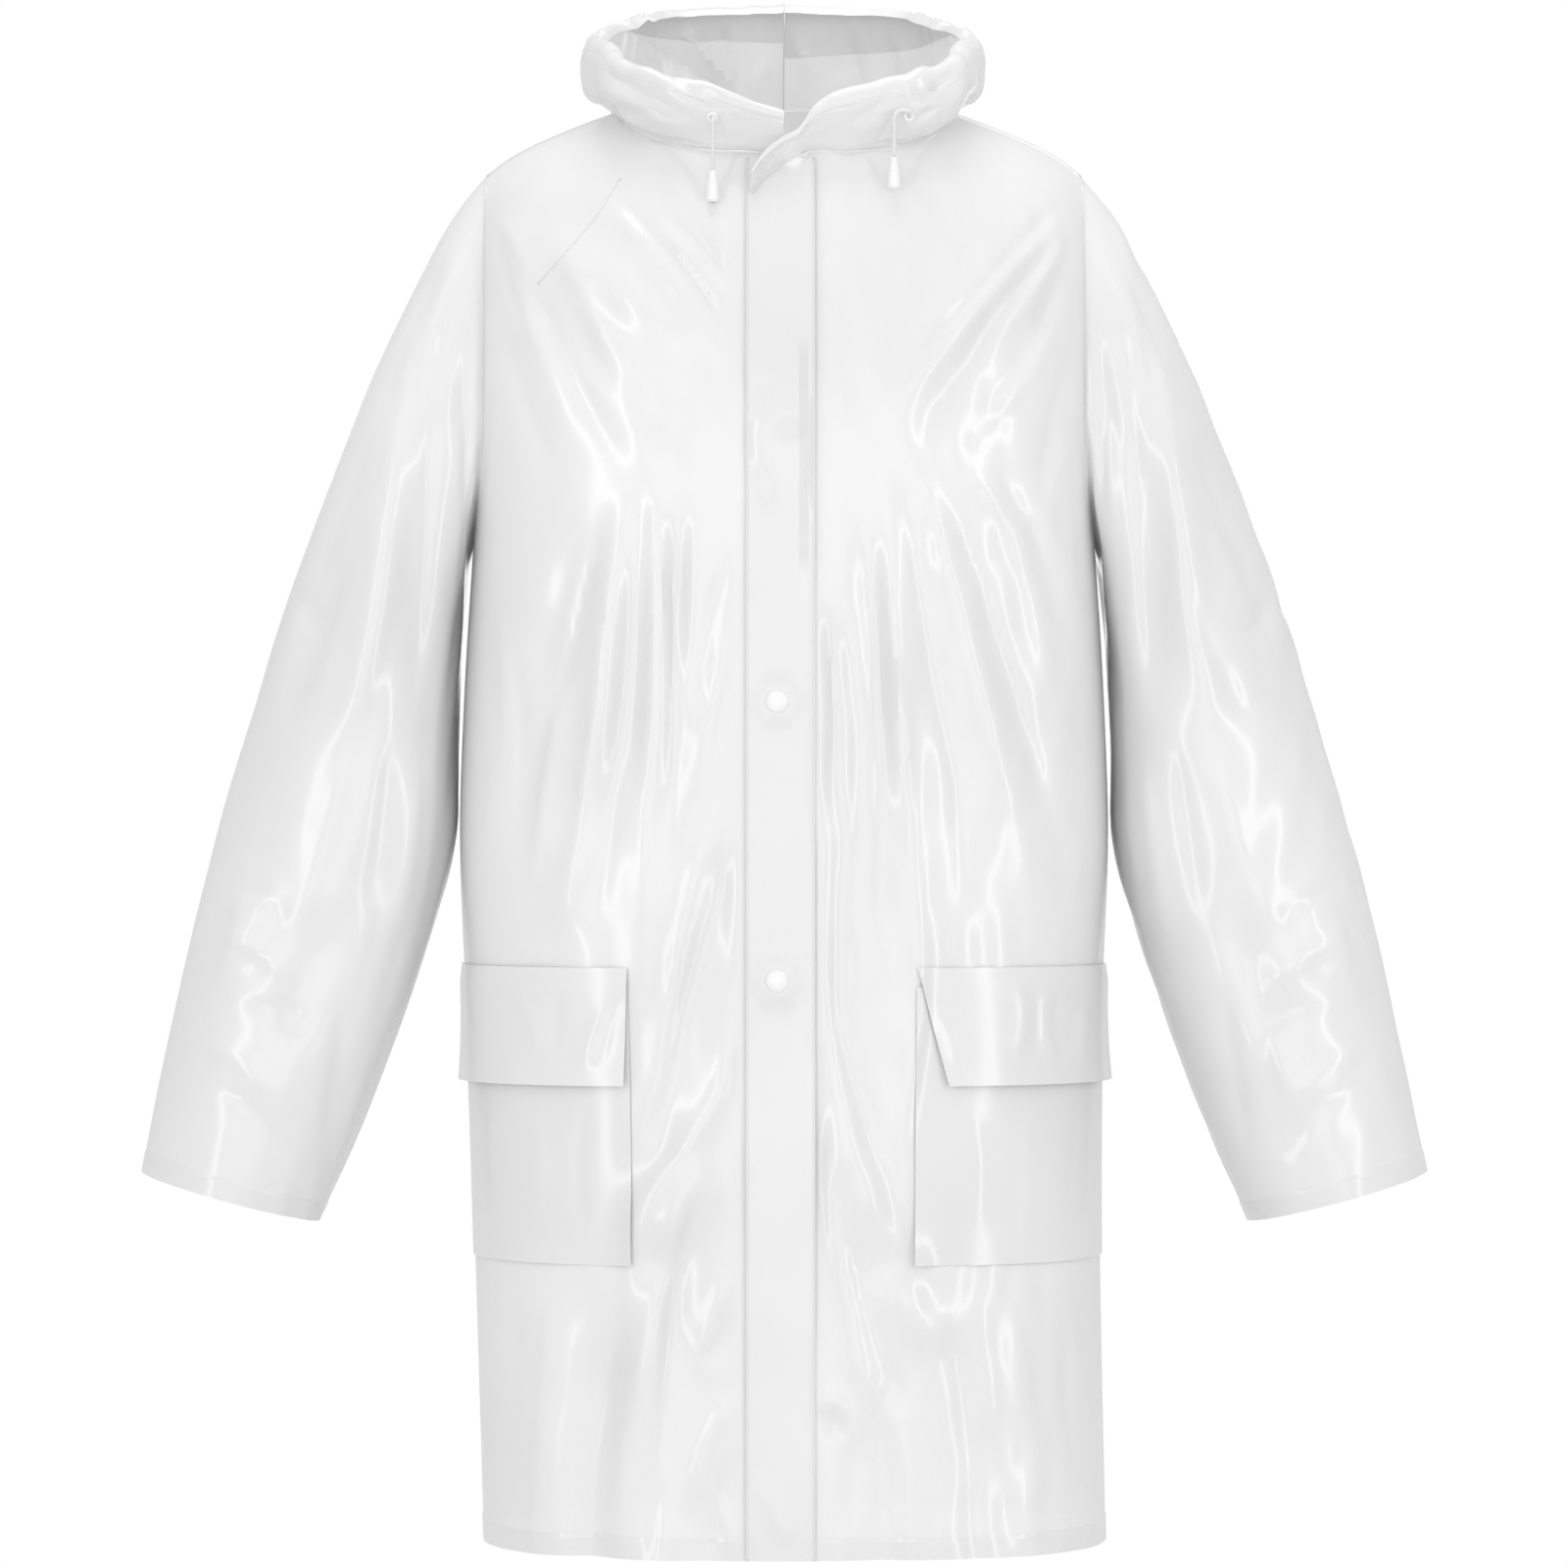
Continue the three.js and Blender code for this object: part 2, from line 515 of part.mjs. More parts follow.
// A frame on the closure: its origin on the cloth, x across, y outwards from the cloth.
function seatOnFront(x, z, lift) {
  const origin = onFront(x, z, lift);
  const outward = onFront(x, z, lift + 1).sub(origin).normalize();
  const across = P(1, 0, 0).addScaledVector(outward, -outward.x).normalize();
  const up = across.clone().cross(outward).negate();
  return new THREE.Matrix4().makeBasis(across, up, outward).setPosition(origin);
}
function seated(name, geometry, frame, material) {
  const mesh = new THREE.Mesh(geometry, material);
  mesh.name = name;
  mesh.applyMatrix4(frame);
  coat.add(mesh);
  return mesh;
}
function round(profile, sides) {
  const points = profile.map(([r, h]) => new THREE.Vector2(r, h));
  return new THREE.LatheGeometry(points, sides).rotateX(Math.PI / 2);
}

// Storm flap: joined beside the zip on the wearer's left front, it crosses the zip and is lifted by
// the chain, the slider with its pull, and the snaps.
const plateau = (distance, flat, foot) => 1 - ease(limit((distance - flat) / (foot - flat), 0, 1));
function flapLift(x, z) {
  const root = limit((FLAP_ROOT - x) / 3.8, 0, 1);
  const base = mix(0.8, mix(0.6, 1.2, limit((x - FLAP_FREE_EDGE) / 30, 0, 1)), root);
  const slider = plateau(Math.hypot(x - 5, (z - (SLIDER_Z - 12)) * 0.85), 22, 36) * 3.9;
  const snaps = SNAP_HEIGHTS.map((h) => plateau(Math.hypot(x - SNAP_X, z - h), 10.5, 22) * 2.2);
  return base + root * Math.max(slider, ...snaps);
}
const flapColumns = [FLAP_ROOT, FLAP_ROOT - 3.8, 11, SNAP_X + 9, SNAP_X, SNAP_X - 9, -21, FLAP_FREE_EDGE];
const flapStops = [SLIDER_Z + 24, SLIDER_Z + 12, SLIDER_Z, SLIDER_Z - 12, SLIDER_Z - 24, SLIDER_Z - 38];
for (const h of SNAP_HEIGHTS) flapStops.push(h + 22, h + 9, h, h - 9, h - 22);
const flapRows = [...flapStops];
for (const z of panelRowHeights(FLAP_TOP, HEM))
  if (flapStops.every((stop) => Math.abs(stop - z) > 10)) flapRows.push(z);
flapRows.sort((a, b) => b - a);
layer("storm_flap", flapRows, flapColumns,
  (z, x, out) => onFront(x, z, flapLift(x, z) + out), WALL, film);

// Slider: a plate that rides on the chain, with a post and head that hold the pull.
const wasm = await Module();
wasm.setup();
function solidOf(geometry) {
  const bare = new THREE.BufferGeometry();
  bare.setAttribute("position", (geometry.index ? geometry.toNonIndexed() : geometry).attributes.position);
  const merged = mergeVertices(bare, 1e-4);
  return new wasm.Manifold(new wasm.Mesh({
    numProp: 3,
    vertProperties: merged.attributes.position.array,
    triVerts: new Uint32Array(merged.index.array),
  }));
}
function geometryOf(solid) {
  const { vertProperties, triVerts } = solid.getMesh();
  const geometry = new THREE.BufferGeometry();
  geometry.setAttribute("position", new THREE.BufferAttribute(vertProperties, 3));
  geometry.setIndex(new THREE.BufferAttribute(triVerts, 1));
  return geometry.toNonIndexed();
}
const plateOutline = new THREE.Shape([
  new THREE.Vector2(-4, 5.5), new THREE.Vector2(-3.4, -3.5), new THREE.Vector2(-1.8, -5.5),
  new THREE.Vector2(1.8, -5.5), new THREE.Vector2(3.4, -3.5), new THREE.Vector2(4, 5.5),
]);
const plate = new THREE.ExtrudeGeometry(plateOutline, { depth: SLIDER_PLATE, bevelEnabled: false });
const headBottom = SLIDER_PLATE + PULL_THICK + 2 * RUNNING;
const post = round([
  [0, SLIDER_PLATE / 2], [POST_RADIUS, SLIDER_PLATE / 2], [POST_RADIUS, headBottom],
  [POST_RADIUS + 1, headBottom], [POST_RADIUS + 1, headBottom + 0.6], [0, headBottom + 0.6],
], 16);
const sliderFrame = seatOnFront(ZIP_X, SLIDER_Z, CHAIN_PROUD + RUNNING);
seated("zip_slider", geometryOf(solidOf(plate).add(solidOf(post))), sliderFrame, whitePlastic);

// Pull: a tab with an eye round the slider's post, rounded at its far end.
const pullOutline = new THREE.Shape();
const eyeRadius = PULL_EYE + 2;
const pullEnd = PULL_LENGTH - PULL_HALF;
pullOutline.absarc(0, 0, eyeRadius, Math.PI / 2, (3 * Math.PI) / 2, false);
pullOutline.lineTo(pullEnd, -PULL_HALF);
pullOutline.absarc(pullEnd, 0, PULL_HALF, -Math.PI / 2, Math.PI / 2, false);
pullOutline.lineTo(0, eyeRadius);
pullOutline.holes.push(new THREE.Path().absarc(0, 0, PULL_EYE, 0, 2 * Math.PI, true));
const pull = new THREE.ExtrudeGeometry(pullOutline, {
  depth: PULL_THICK, bevelEnabled: false, curveSegments: 8,
});
pull.rotateZ(Math.PI + rad(PULL_SWING));
pull.translate(0, 0, SLIDER_PLATE + RUNNING);
seated("zip_pull", pull, sliderFrame, whitePlastic);

// Snaps: a stud on the wearer's right front, and a domed cap on the flap.
SNAP_HEIGHTS.forEach((z, i) => {
  const stud = round([
    [0, 0], [SNAP_STUD_RADIUS, 0], [SNAP_STUD_RADIUS - 1, SNAP_STACK], [0, SNAP_STACK],
  ], 16);
  seated("snap_stud_" + (i + 1), stud, seatOnFront(SNAP_X, z, SEAM), whitePlastic);
  const cap = round([
    [0, 0], [SNAP_CAP_RADIUS, 0], [SNAP_CAP_RADIUS, 0.7], [SNAP_CAP_RADIUS - 2, 1.9],
    [SNAP_CAP_RADIUS - 5, 2.6], [0, 2.8],
  ], 20);
  const flapFace = flapLift(SNAP_X, z) + WALL + SEAM;
  seated("snap_cap_" + (i + 1), cap, seatOnFront(SNAP_X, z, flapFace), whitePlastic);
});

// Pockets and their flaps lie on the fronts' own rows and columns.
function pocket(side, panel) {
  const inner = POCKET_EDGES[side];
  const row = (z) => rowAt(panel, 3, z);
  const steps = (first, last) => {
    const whole = panel.outer[0].map((_, c) => c).filter((c) => c > first + 0.2 && c < last - 0.2);
    return [first, ...whole, last];
  };
  const heights = (top, bottom) =>
    [top, ...LOWER_ROWS.filter((z) => z < top - 4 && z > bottom + 4), bottom];
  layer("pocket_" + side, heights(POCKET_TOP - 10, POCKET_BOTTOM), steps(inner, POCKET_SIDE),
    (z, c, out) => onPanel(panel, row(z), c, SEAM + out), WALL, film);
  const slant = POCKET_FLAP_SLANT[side];
  const flapTop = POCKET_TOP + 4;
  const rows = [flapTop, POCKET_TOP - 8, ...heights(POCKET_TOP - 8, POCKET_FLAP_BOTTOM).slice(1)];
  layer("pocket_flap_" + side, rows, steps(inner, POCKET_FLAP_SIDE), (z, c, out) => {
    const down = (flapTop - z) / (flapTop - POCKET_FLAP_BOTTOM);
    const nearEnd = Math.max(1 - (c - inner) / POCKET_FLAP_SLANT_REACH, 0);
    const column = c + slant * down * nearEnd;
    const lift = z === flapTop ? SEAM : 2 * SEAM + WALL + POCKET_FLAP_FLARE * down ** 2;
    return onPanel(panel, row(z), column, lift + out);
  }, WALL, film);
}
pocket("right", frontRight);
pocket("left", frontLeft);

// Hood. Each half follows the neckline's columns from the closure to the centre back.
const HOOD_STOPS = ["low", "fold", "bulge", "crest", "edge"];
const hoodColumn = Object.fromEntries(
  HOOD_STOPS.flatMap((stop) => [stop + "Out", stop + "Up"]).map((c) => [c, smooth(HOOD, "turn", c)]),
);
function hoodSection(start, side) {
  const outward = P(start.x, start.y - NECK_AXIS_Y, 0).normalize();
  const turn = THREE.MathUtils.radToDeg(Math.acos(limit(-outward.y, -1, 1)));
  const stops = [start, ...HOOD_STOPS.map((stop) => {
    const gather = 1 + 0.07 * Math.sin(rad(9 * turn)) * (stop === "edge" ? 0.4 : 1);
    return start.clone().addScaledVector(outward, hoodColumn[stop + "Out"](turn) * gather)
      .add(P(0, 0, hoodColumn[stop + "Up"](turn)));
  })];
  const path = new THREE.CatmullRomCurve3(stops, false, "centripetal");
  return path.getPoints(HOOD_ROWS).map((p) => restOnBody(p, side));
}
// Cloth of the hood lies on the back and shoulders, never in them.
function restOnBody(p, side) {
  const face = p.y < 0 ? "front" : "back";
  const toward = Math.sign(p.y) || 1;
  const ridge = shoulder(Math.abs(p.x));
  const section = depthAt(face, p.x, UNDERARM);
  const share = Math.max(1 - (p.y / section) ** 2, 0) ** (1 / CHEST_ROUNDING);
  const raise = mix(UNDERARM, ridge, share) + HOOD_CLEAR - p.z;
  const push = depthAt(face, p.x, p.z) + HOOD_CLEAR - Math.abs(p.y);
  if (raise > 0 && push > 0) {
    if (raise < push) p.z += raise;
    else p.y += toward * push;
  }
  p.x = side * Math.max(side * p.x, SEAM / 2);
  return p;
}
function neckline(front, back) {
  const starts = [];
  for (let c = 0; c <= NECK_COLUMNS; c++)
    starts.push(front.outer[0][c].clone().addScaledVector(front.normals[0][c], 1.6 * SEAM));
  for (let c = NECK_COLUMNS - 1; c >= 0; c--)
    starts.push(back.outer[0][c].clone().addScaledVector(back.normals[0][c], 1.6 * SEAM));
  return starts;
}
function hoodHalf(name, side, front, back, lead) {
  const sections = [...lead, ...neckline(front, back).map((start) => hoodSection(start, side))];
  const outer = sections[0].map((_, r) => sections.map((section) => section[r]));
  const normals = normalsOf(outer, false, side);
  const inner = movedOut(outer, normals, -WALL);
  inner.forEach((row) => {
    const p = row[row.length - 1];
    p.x = side * Math.max(side * p.x, SEAM / 2);
  });
  coat.add(wallMesh(name, outer, inner, false, film));
  return { outer, normals };
}

// The wearer's left half runs on over the flap's top to a pointed end.
const CHIN = [
  { x: -24, low: -46, edge: -29 },
  { x: -12, low: -31, edge: -13 },
  { x: 0, low: -23, edge: -4 },
  { x: 11, low: -17, edge: 2 },
];
const chinSections = CHIN.map(({ x, low, edge }) => {
  const section = [];
  for (let r = 0; r <= HOOD_ROWS; r++) {
    const up = r / HOOD_ROWS;
    const z = mix(low, edge, up);
    const y = Math.max(depthAt("front", x, z), 98) + 5 + 13 * up + 3 * Math.sin(Math.PI * up);
    section.push(P(x, -y, z));
  }
  return section;
});
const hoodRight = hoodHalf("hood_right", -1, frontRight, backRight, []);
const hoodLeft = hoodHalf("hood_left", 1, frontLeft, backLeft, chinSections);

// Drawcord: on each side its end leaves an eyelet in the hood's front and hangs to a bell end.
const EYELETS = [
  { side: "right", hood: hoodRight, row: 5, column: 1.2 },
  { side: "left", hood: hoodLeft, row: 4.75, column: CHIN.length + 1.7 },
];
for (const { side, hood, row, column } of EYELETS) {
  const outward = between(hood.normals, row, column).normalize();
  const centre = between(hood.outer, row, column).addScaledVector(outward, 1);
  const ring = round([
    [CORD_RADIUS + 0.4, 0], [EYELET_RADIUS, 0], [EYELET_RADIUS, 0.8], [EYELET_RADIUS - 1, 1.4],
    [CORD_RADIUS + 0.4, 1.4], [CORD_RADIUS + 0.4, 0],
  ], 16);
  const frame = new THREE.Matrix4().lookAt(outward, P(0, 0, 0), P(0, 0, 1)).setPosition(centre);
  seated("eyelet_" + side, ring, frame, whitePlastic);
}

const CORD_ROUTES = {
  right: [
    { x: -52, y: -112.4, z: 10 }, { x: -52, y: -113.8, z: 9.8 }, { x: -52.1, y: -115.4, z: 8.9 },
    { x: -52.2, y: -116.9, z: 7.3 }, { x: -52.3, y: -117.9, z: 5.2 }, { x: -52.4, y: -118.3, z: 2.6 },
    { x: -52.4, y: -118.4, z: -1 }, { x: -52.4, y: -118.4, z: -4.6 }, { x: -52.4, y: -118.4, z: -8.2 },
    { x: -52.4, y: -118.4, z: -11.8 }, { x: -52.4, y: -118.4, z: -15.4 }, { x: -52.4, y: -118.4, z: -19 },
    { x: -52.4, y: -118.4, z: -22.6 }, { x: -52.4, y: -118.4, z: -26.2 }, { x: -52.4, y: -118.4, z: -29.5 },
  ],
  left: [
    { x: 93, y: -108.4, z: 11.4 }, { x: 93.3, y: -110, z: 12.4 }, { x: 92.3, y: -111.8, z: 13.9 },
    { x: 90.1, y: -113, z: 14.6 }, { x: 87.5, y: -113.5, z: 15 }, { x: 84.6, y: -113.7, z: 14.3 },
    { x: 82.4, y: -113.9, z: 12.5 }, { x: 81.2, y: -114, z: 9.8 }, { x: 81, y: -114, z: 6.4 },
    { x: 81, y: -114, z: 2.8 }, { x: 81, y: -114, z: -0.8 }, { x: 81, y: -114, z: -4.4 },
    { x: 81, y: -114, z: -8 }, { x: 81, y: -114, z: -11.6 }, { x: 81, y: -114, z: -15.4 },
    { x: 81, y: -114, z: -19.2 },
  ],
};
for (const [side, route] of Object.entries(CORD_ROUTES)) {
  const path = new THREE.CatmullRomCurve3(route.map(({ x, y, z }) => P(x, y, z)));
  const section = new THREE.Shape();
  section.absarc(0, 0, CORD_RADIUS, 0, 2 * Math.PI, false);
  const geometry = new THREE.ExtrudeGeometry(section, {
    steps: route.length, extrudePath: path, curveSegments: 4, bevelEnabled: false,
  });
  seated("cord_" + side, geometry, new THREE.Matrix4(), cordWhite);
  const foot = route[route.length - 1];
  const bell = new THREE.LatheGeometry([
    new THREE.Vector2(0, -BELL_LENGTH), new THREE.Vector2(BELL_RADIUS - 1, -BELL_LENGTH),
    new THREE.Vector2(BELL_RADIUS, -BELL_LENGTH + 2), new THREE.Vector2(BELL_RADIUS - 0.6, -BELL_LENGTH + 8),
    new THREE.Vector2(BELL_TOP_RADIUS, -4), new THREE.Vector2(BELL_TOP_RADIUS, 0), new THREE.Vector2(0, 0),
  ], 16).rotateX(Math.PI / 2);
  const below = new THREE.Matrix4().makeTranslation(foot.x, foot.y, foot.z - SEAM);
  seated("bell_" + side, bell, below, whitePlastic);
}

export default coat;
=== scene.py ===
# %% [markdown]
# # A hooded raincoat of white film
#
# The script dresses the imported solids of a raincoat. The real coat is cut from one thin, milky
# plastic film, and its pieces are welded edge to edge. Film like this has three looks to catch: long
# soft folds that hang from the shoulders, a gloss that draws bright streaks along them, and a milky
# depth that is darker wherever two layers lie on each other, because less light comes through them.
# That last darkening is painted shade: pieces of two layers get a darker base colour.

# %% Load the imported coat
import json
import math

import bpy
import bmesh
import numpy as np
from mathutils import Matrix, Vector

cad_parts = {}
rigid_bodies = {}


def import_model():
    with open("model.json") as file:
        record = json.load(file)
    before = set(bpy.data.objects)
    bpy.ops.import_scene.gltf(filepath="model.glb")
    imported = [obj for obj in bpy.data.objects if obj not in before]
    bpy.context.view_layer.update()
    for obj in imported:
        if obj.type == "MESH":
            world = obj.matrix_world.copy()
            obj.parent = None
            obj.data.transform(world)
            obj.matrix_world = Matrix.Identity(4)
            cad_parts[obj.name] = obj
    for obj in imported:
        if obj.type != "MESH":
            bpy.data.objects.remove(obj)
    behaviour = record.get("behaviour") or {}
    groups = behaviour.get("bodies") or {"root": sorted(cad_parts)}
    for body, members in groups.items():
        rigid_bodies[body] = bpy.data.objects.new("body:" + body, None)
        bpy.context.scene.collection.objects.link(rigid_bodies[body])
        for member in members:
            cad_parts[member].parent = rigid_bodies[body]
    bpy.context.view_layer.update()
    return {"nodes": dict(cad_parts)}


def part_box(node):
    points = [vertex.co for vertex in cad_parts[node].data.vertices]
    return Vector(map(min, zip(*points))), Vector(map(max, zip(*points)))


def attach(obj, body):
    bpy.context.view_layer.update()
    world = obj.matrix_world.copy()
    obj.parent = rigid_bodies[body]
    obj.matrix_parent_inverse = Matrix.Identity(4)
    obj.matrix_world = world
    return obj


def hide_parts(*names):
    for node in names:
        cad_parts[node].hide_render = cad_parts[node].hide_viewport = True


for thing in list(bpy.data.objects):
    bpy.data.objects.remove(thing)
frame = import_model()
nodes = frame["nodes"]
scene = bpy.context.scene
MM = 0.001
print("packed nodes:", len(nodes))

# %% [markdown]
# The camera comes first. The photograph was taken from the front at chest height with a long lens:
# the hem and the shoulders show at almost the same scale. A camera 4.5 m away whose frame is 1.184 m
# wide at the shoulder plane gives that view. Points read off the photograph, in its frame of 1600 by
# 1600, turn into places on the coat with the same two numbers.

# %% Camera, and places in the photograph's frame
CAMERA_DISTANCE = 4.5
CAMERA_HEIGHT = -0.481
FRAME_WIDTH = 1.184
PHOTO_PIXELS = 1600
SENSOR = 36.0

camera_data = bpy.data.cameras.new("camera")
camera_data.sensor_width = SENSOR
camera_data.lens = SENSOR * CAMERA_DISTANCE / FRAME_WIDTH
camera = bpy.data.objects.new("camera", camera_data)
camera.location = (0, -CAMERA_DISTANCE, CAMERA_HEIGHT)
camera.rotation_euler = (math.radians(90), 0, 0)
scene.collection.objects.link(camera)
scene.camera = camera


def photo_place(across, down, depth):
    """x and z of a point of the photograph that lies this far in front of the shoulder plane."""
    scale = FRAME_WIDTH / PHOTO_PIXELS * (1 - depth / CAMERA_DISTANCE)
    middle = PHOTO_PIXELS / 2
    return (across - middle) * scale, CAMERA_HEIGHT + (middle - down) * scale


print("lens:", round(camera_data.lens, 1), "mm")

# %% [markdown]
# The hood's drawcord shows only its two free ends, about 45 mm each. Each leaves an eyelet, bends
# down under its own weight and ends in a moulded bell. A free cord must keep its real length and
# follow the solids made for it, so its line is a smooth curve through the same places, and the tube
# is laid round that line with its own lengthwise coordinate for the braid.

# %% Curves through points
def smooth_line(points, pieces):
    """A smooth line through points, with this many pieces between two of them."""
    points = np.asarray(points, float)
    ends = np.vstack([2 * points[0] - points[1], points, 2 * points[-1] - points[-2]])
    line = []
    for i in range(len(points) - 1):
        a, b, c, d = ends[i : i + 4]
        for t in np.arange(pieces) / pieces:
            line.append(
                0.5 * (2 * b + (c - a) * t + (2 * a - 5 * b + 4 * c - d) * t**2
                       + (3 * b - a - 3 * c + d) * t**3)
            )
    return np.array(line + [points[-1]])


def add_mesh(name, points, faces, uv):
    """A mesh object at the world's origin, with its faces in place and one UV for each corner."""
    mesh = bpy.data.meshes.new(name)
    mesh.from_pydata([tuple(p) for p in points], [], [tuple(map(int, f)) for f in faces])
    layer = mesh.uv_layers.new(name="along")
    corners = np.zeros(len(mesh.loops), np.int32)
    mesh.loops.foreach_get("vertex_index", corners)
    layer.data.foreach_set("uv", np.asarray(uv, np.float32)[corners].ravel())
    mesh.polygons.foreach_set("use_smooth", [True] * len(mesh.polygons))
    mesh.update()
    piece = bpy.data.objects.new(name, mesh)
    scene.collection.objects.link(piece)
    return piece


def tube(name, line, radius, sides):
    """A tube round a line, with UV running along it and round it, in metres."""
    line = np.asarray(line, float)
    along = np.gradient(line, axis=0)
    along /= np.linalg.norm(along, axis=1)[:, None]
    side = np.cross(along[0], (0.3, 1.0, 0.2))
    points, uv = [], []
    length = np.r_[0, np.cumsum(np.linalg.norm(np.diff(line, axis=0), axis=1))]
    for i, (centre, direction) in enumerate(zip(line, along)):
        side = side - direction * side.dot(direction)
        side /= np.linalg.norm(side)
        other = np.cross(direction, side)
        for k in range(sides):
            turn = 2 * math.pi * k / sides
            points.append(centre + radius * (side * math.cos(turn) + other * math.sin(turn)))
            uv.append((length[i], 2 * math.pi * radius * k / sides))
    faces = []
    for i in range(len(line) - 1):
        for k in range(sides):
            a, b = i * sides + k, i * sides + (k + 1) % sides
            faces.append((a, b, b + sides, a + sides))
    faces.append(tuple(range(sides))[::-1])
    faces.append(tuple(range((len(line) - 1) * sides, len(line) * sides)))
    return add_mesh(name, points, faces, uv)


# %% The two cord ends
CORD_DIAMETER = 3.2 * MM
CORD_ROUTES = {  # millimetres: x, y, z of each point
    "right": [
        (-52, -112.4, 10), (-52, -113.8, 9.8), (-52.1, -115.4, 8.9), (-52.2, -116.9, 7.3),
        (-52.3, -117.9, 5.2), (-52.4, -118.3, 2.6), (-52.4, -118.4, -1), (-52.4, -118.4, -4.6),
        (-52.4, -118.4, -8.2), (-52.4, -118.4, -11.8), (-52.4, -118.4, -15.4), (-52.4, -118.4, -19),
        (-52.4, -118.4, -22.6), (-52.4, -118.4, -26.2), (-52.4, -118.4, -29.5),
    ],
    "left": [
        (93, -108.4, 11.4), (93.3, -110, 12.4), (92.3, -111.8, 13.9), (90.1, -113, 14.6),
        (87.5, -113.5, 15), (84.6, -113.7, 14.3), (82.4, -113.9, 12.5), (81.2, -114, 9.8),
        (81, -114, 6.4), (81, -114, 2.8), (81, -114, -0.8), (81, -114, -4.4), (81, -114, -8),
        (81, -114, -11.6), (81, -114, -15.4), (81, -114, -19.2),
    ],
}
cords = {}
for side, route in CORD_ROUTES.items():
    line = smooth_line(np.array(route) * MM, 4)
    cord = tube("drawcord_" + side, line, CORD_DIAMETER / 2, 12)
    cords[side] = cord
    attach(cord, "coat")
    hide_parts("cord_" + side)

# %% [markdown]
# Materials are built from nodes. A small class wraps a socket, so that a mask or a mottled tone can
# be written as ordinary arithmetic, and one method makes every other kind of node.

# %% A small language for shader maths
class Socket:
    """A socket of a material's node tree, or a plain number, that can be added and multiplied."""

    def __init__(self, tree, value):
        self.tree = tree
        self.value = value

    def _math(self, operation, *values):
        return self.tree.node("ShaderNodeMath", {"operation": operation}, *values)

    def __add__(self, other):
        return self._math("ADD", self, other)

    __radd__ = __add__

    def __sub__(self, other):
        return self._math("SUBTRACT", self, other)

    def __rsub__(self, other):
        return self._math("SUBTRACT", other, self)

    def __mul__(self, other):
        return self._math("MULTIPLY", self, other)

    __rmul__ = __mul__

    def between(self, low, high):
        """0 below low and 1 above high, eased in between."""
        settings = {"interpolation_type": "SMOOTHSTEP", "clamp": True}
        return self.tree.node("ShaderNodeMapRange", settings, self, low, high, 0.0, 1.0)


class Finish:
    """A material with its node tree and a method that makes its nodes."""

    def __init__(self, name):
        self.material = bpy.data.materials.new(name)
        self.material.use_nodes = True
        self.nodes = self.material.node_tree.nodes
        self.links = self.material.node_tree.links
        self.nodes.clear()

    def node(self, kind, settings, *values, output=0, **named):
        """Makes a node, sets what it is, then fills its sockets in order and by name."""
        made = self.nodes.new(kind)
        for key, value in settings.items():
            if key == "stops":
                for (place, tone), stop in zip(value, made.color_ramp.elements):
                    stop.position, stop.color = place, (tone, tone, tone, 1)
            else:
                setattr(made, key, value)
        for key, value in [*enumerate(values), *((k.replace("_", " "), v) for k, v in named.items())]:
            if isinstance(value, Socket):
                self.links.new(value.value, made.inputs[key])
            elif value is not None:
                made.inputs[key].default_value = value
        return Socket(self, made.outputs[output]) if made.outputs else None

    def place(self, stretch=(1, 1, 1), turn=(0, 0, 0)):
        """Object coordinates, stretched and turned for a pattern."""
        where = self.node("ShaderNodeTexCoord", {}, output="Object")
        return self.node("ShaderNodeMapping", {}, where, (0, 0, 0), turn, stretch)

    def noise(self, where, scale, detail=2.0):
        return self.node("ShaderNodeTexNoise", {}, where, None, scale, detail, output="Fac")

    def parts(self, vector):
        """The three parts of a vector."""
        split = self.node("ShaderNodeSeparateXYZ", {}, vector).value.node
        return [Socket(self, split.outputs[k]) for k in range(3)]

    def mixed(self, factor, first, second):
        """A colour between two colours."""
        made = self.nodes.new("ShaderNodeMix")
        made.data_type = "RGBA"
        for socket, value in zip((made.inputs[0], made.inputs[6], made.inputs[7]), (factor, first, second)):
            if isinstance(value, Socket):
                self.links.new(value.value, socket)
            else:
                socket.default_value = value
        return Socket(self, made.outputs[2])

    def surface(self, **sockets):
        """Closes the tree with a principled shader. Names are the shader's own sockets."""
        shader = self.node("ShaderNodeBsdfPrincipled", {}, **sockets)
        self.node("ShaderNodeOutputMaterial", {}, shader)
        return self.material


def grey(tone, alpha=1.0):
    return (tone, tone, tone, alpha)


print("shader helpers ready")

# %% [markdown]
# The film is white, glossy and a little see-through. A real one scatters light inside, so it looks
# like frosted glass lit from behind. Rendering that scattering is slow and grainy; a bright base
# colour that lets a share of the light straight through looks nearly the same and bakes well. The
# gloss wanders a little over the surface, because a calendered film is never quite even. The hood's
# film hangs free of any other layer and lets more light through. The flap's film lies flat on the
# zip, and whatever touches milky film from behind shows through it: there it turns a little clearer.

# %% Film
for material in list(bpy.data.materials):
    bpy.data.materials.remove(material)

ZIP_X = 14.3 * MM
ZIP_BOTTOM = -322 * MM
STRIP_HALF = 3.4 * MM
STRIP_SIDE_BLUR, STRIP_END_BLUR = 1 * MM, 10 * MM
TEETH_SHOW = -160 * MM  # above this the film stands off the zip, and its teeth don't show
PULL_PLACE, PULL_PATCH = (4 * MM, -223 * MM), (17 * MM, 13 * MM)  # the pull tab and what shows of it


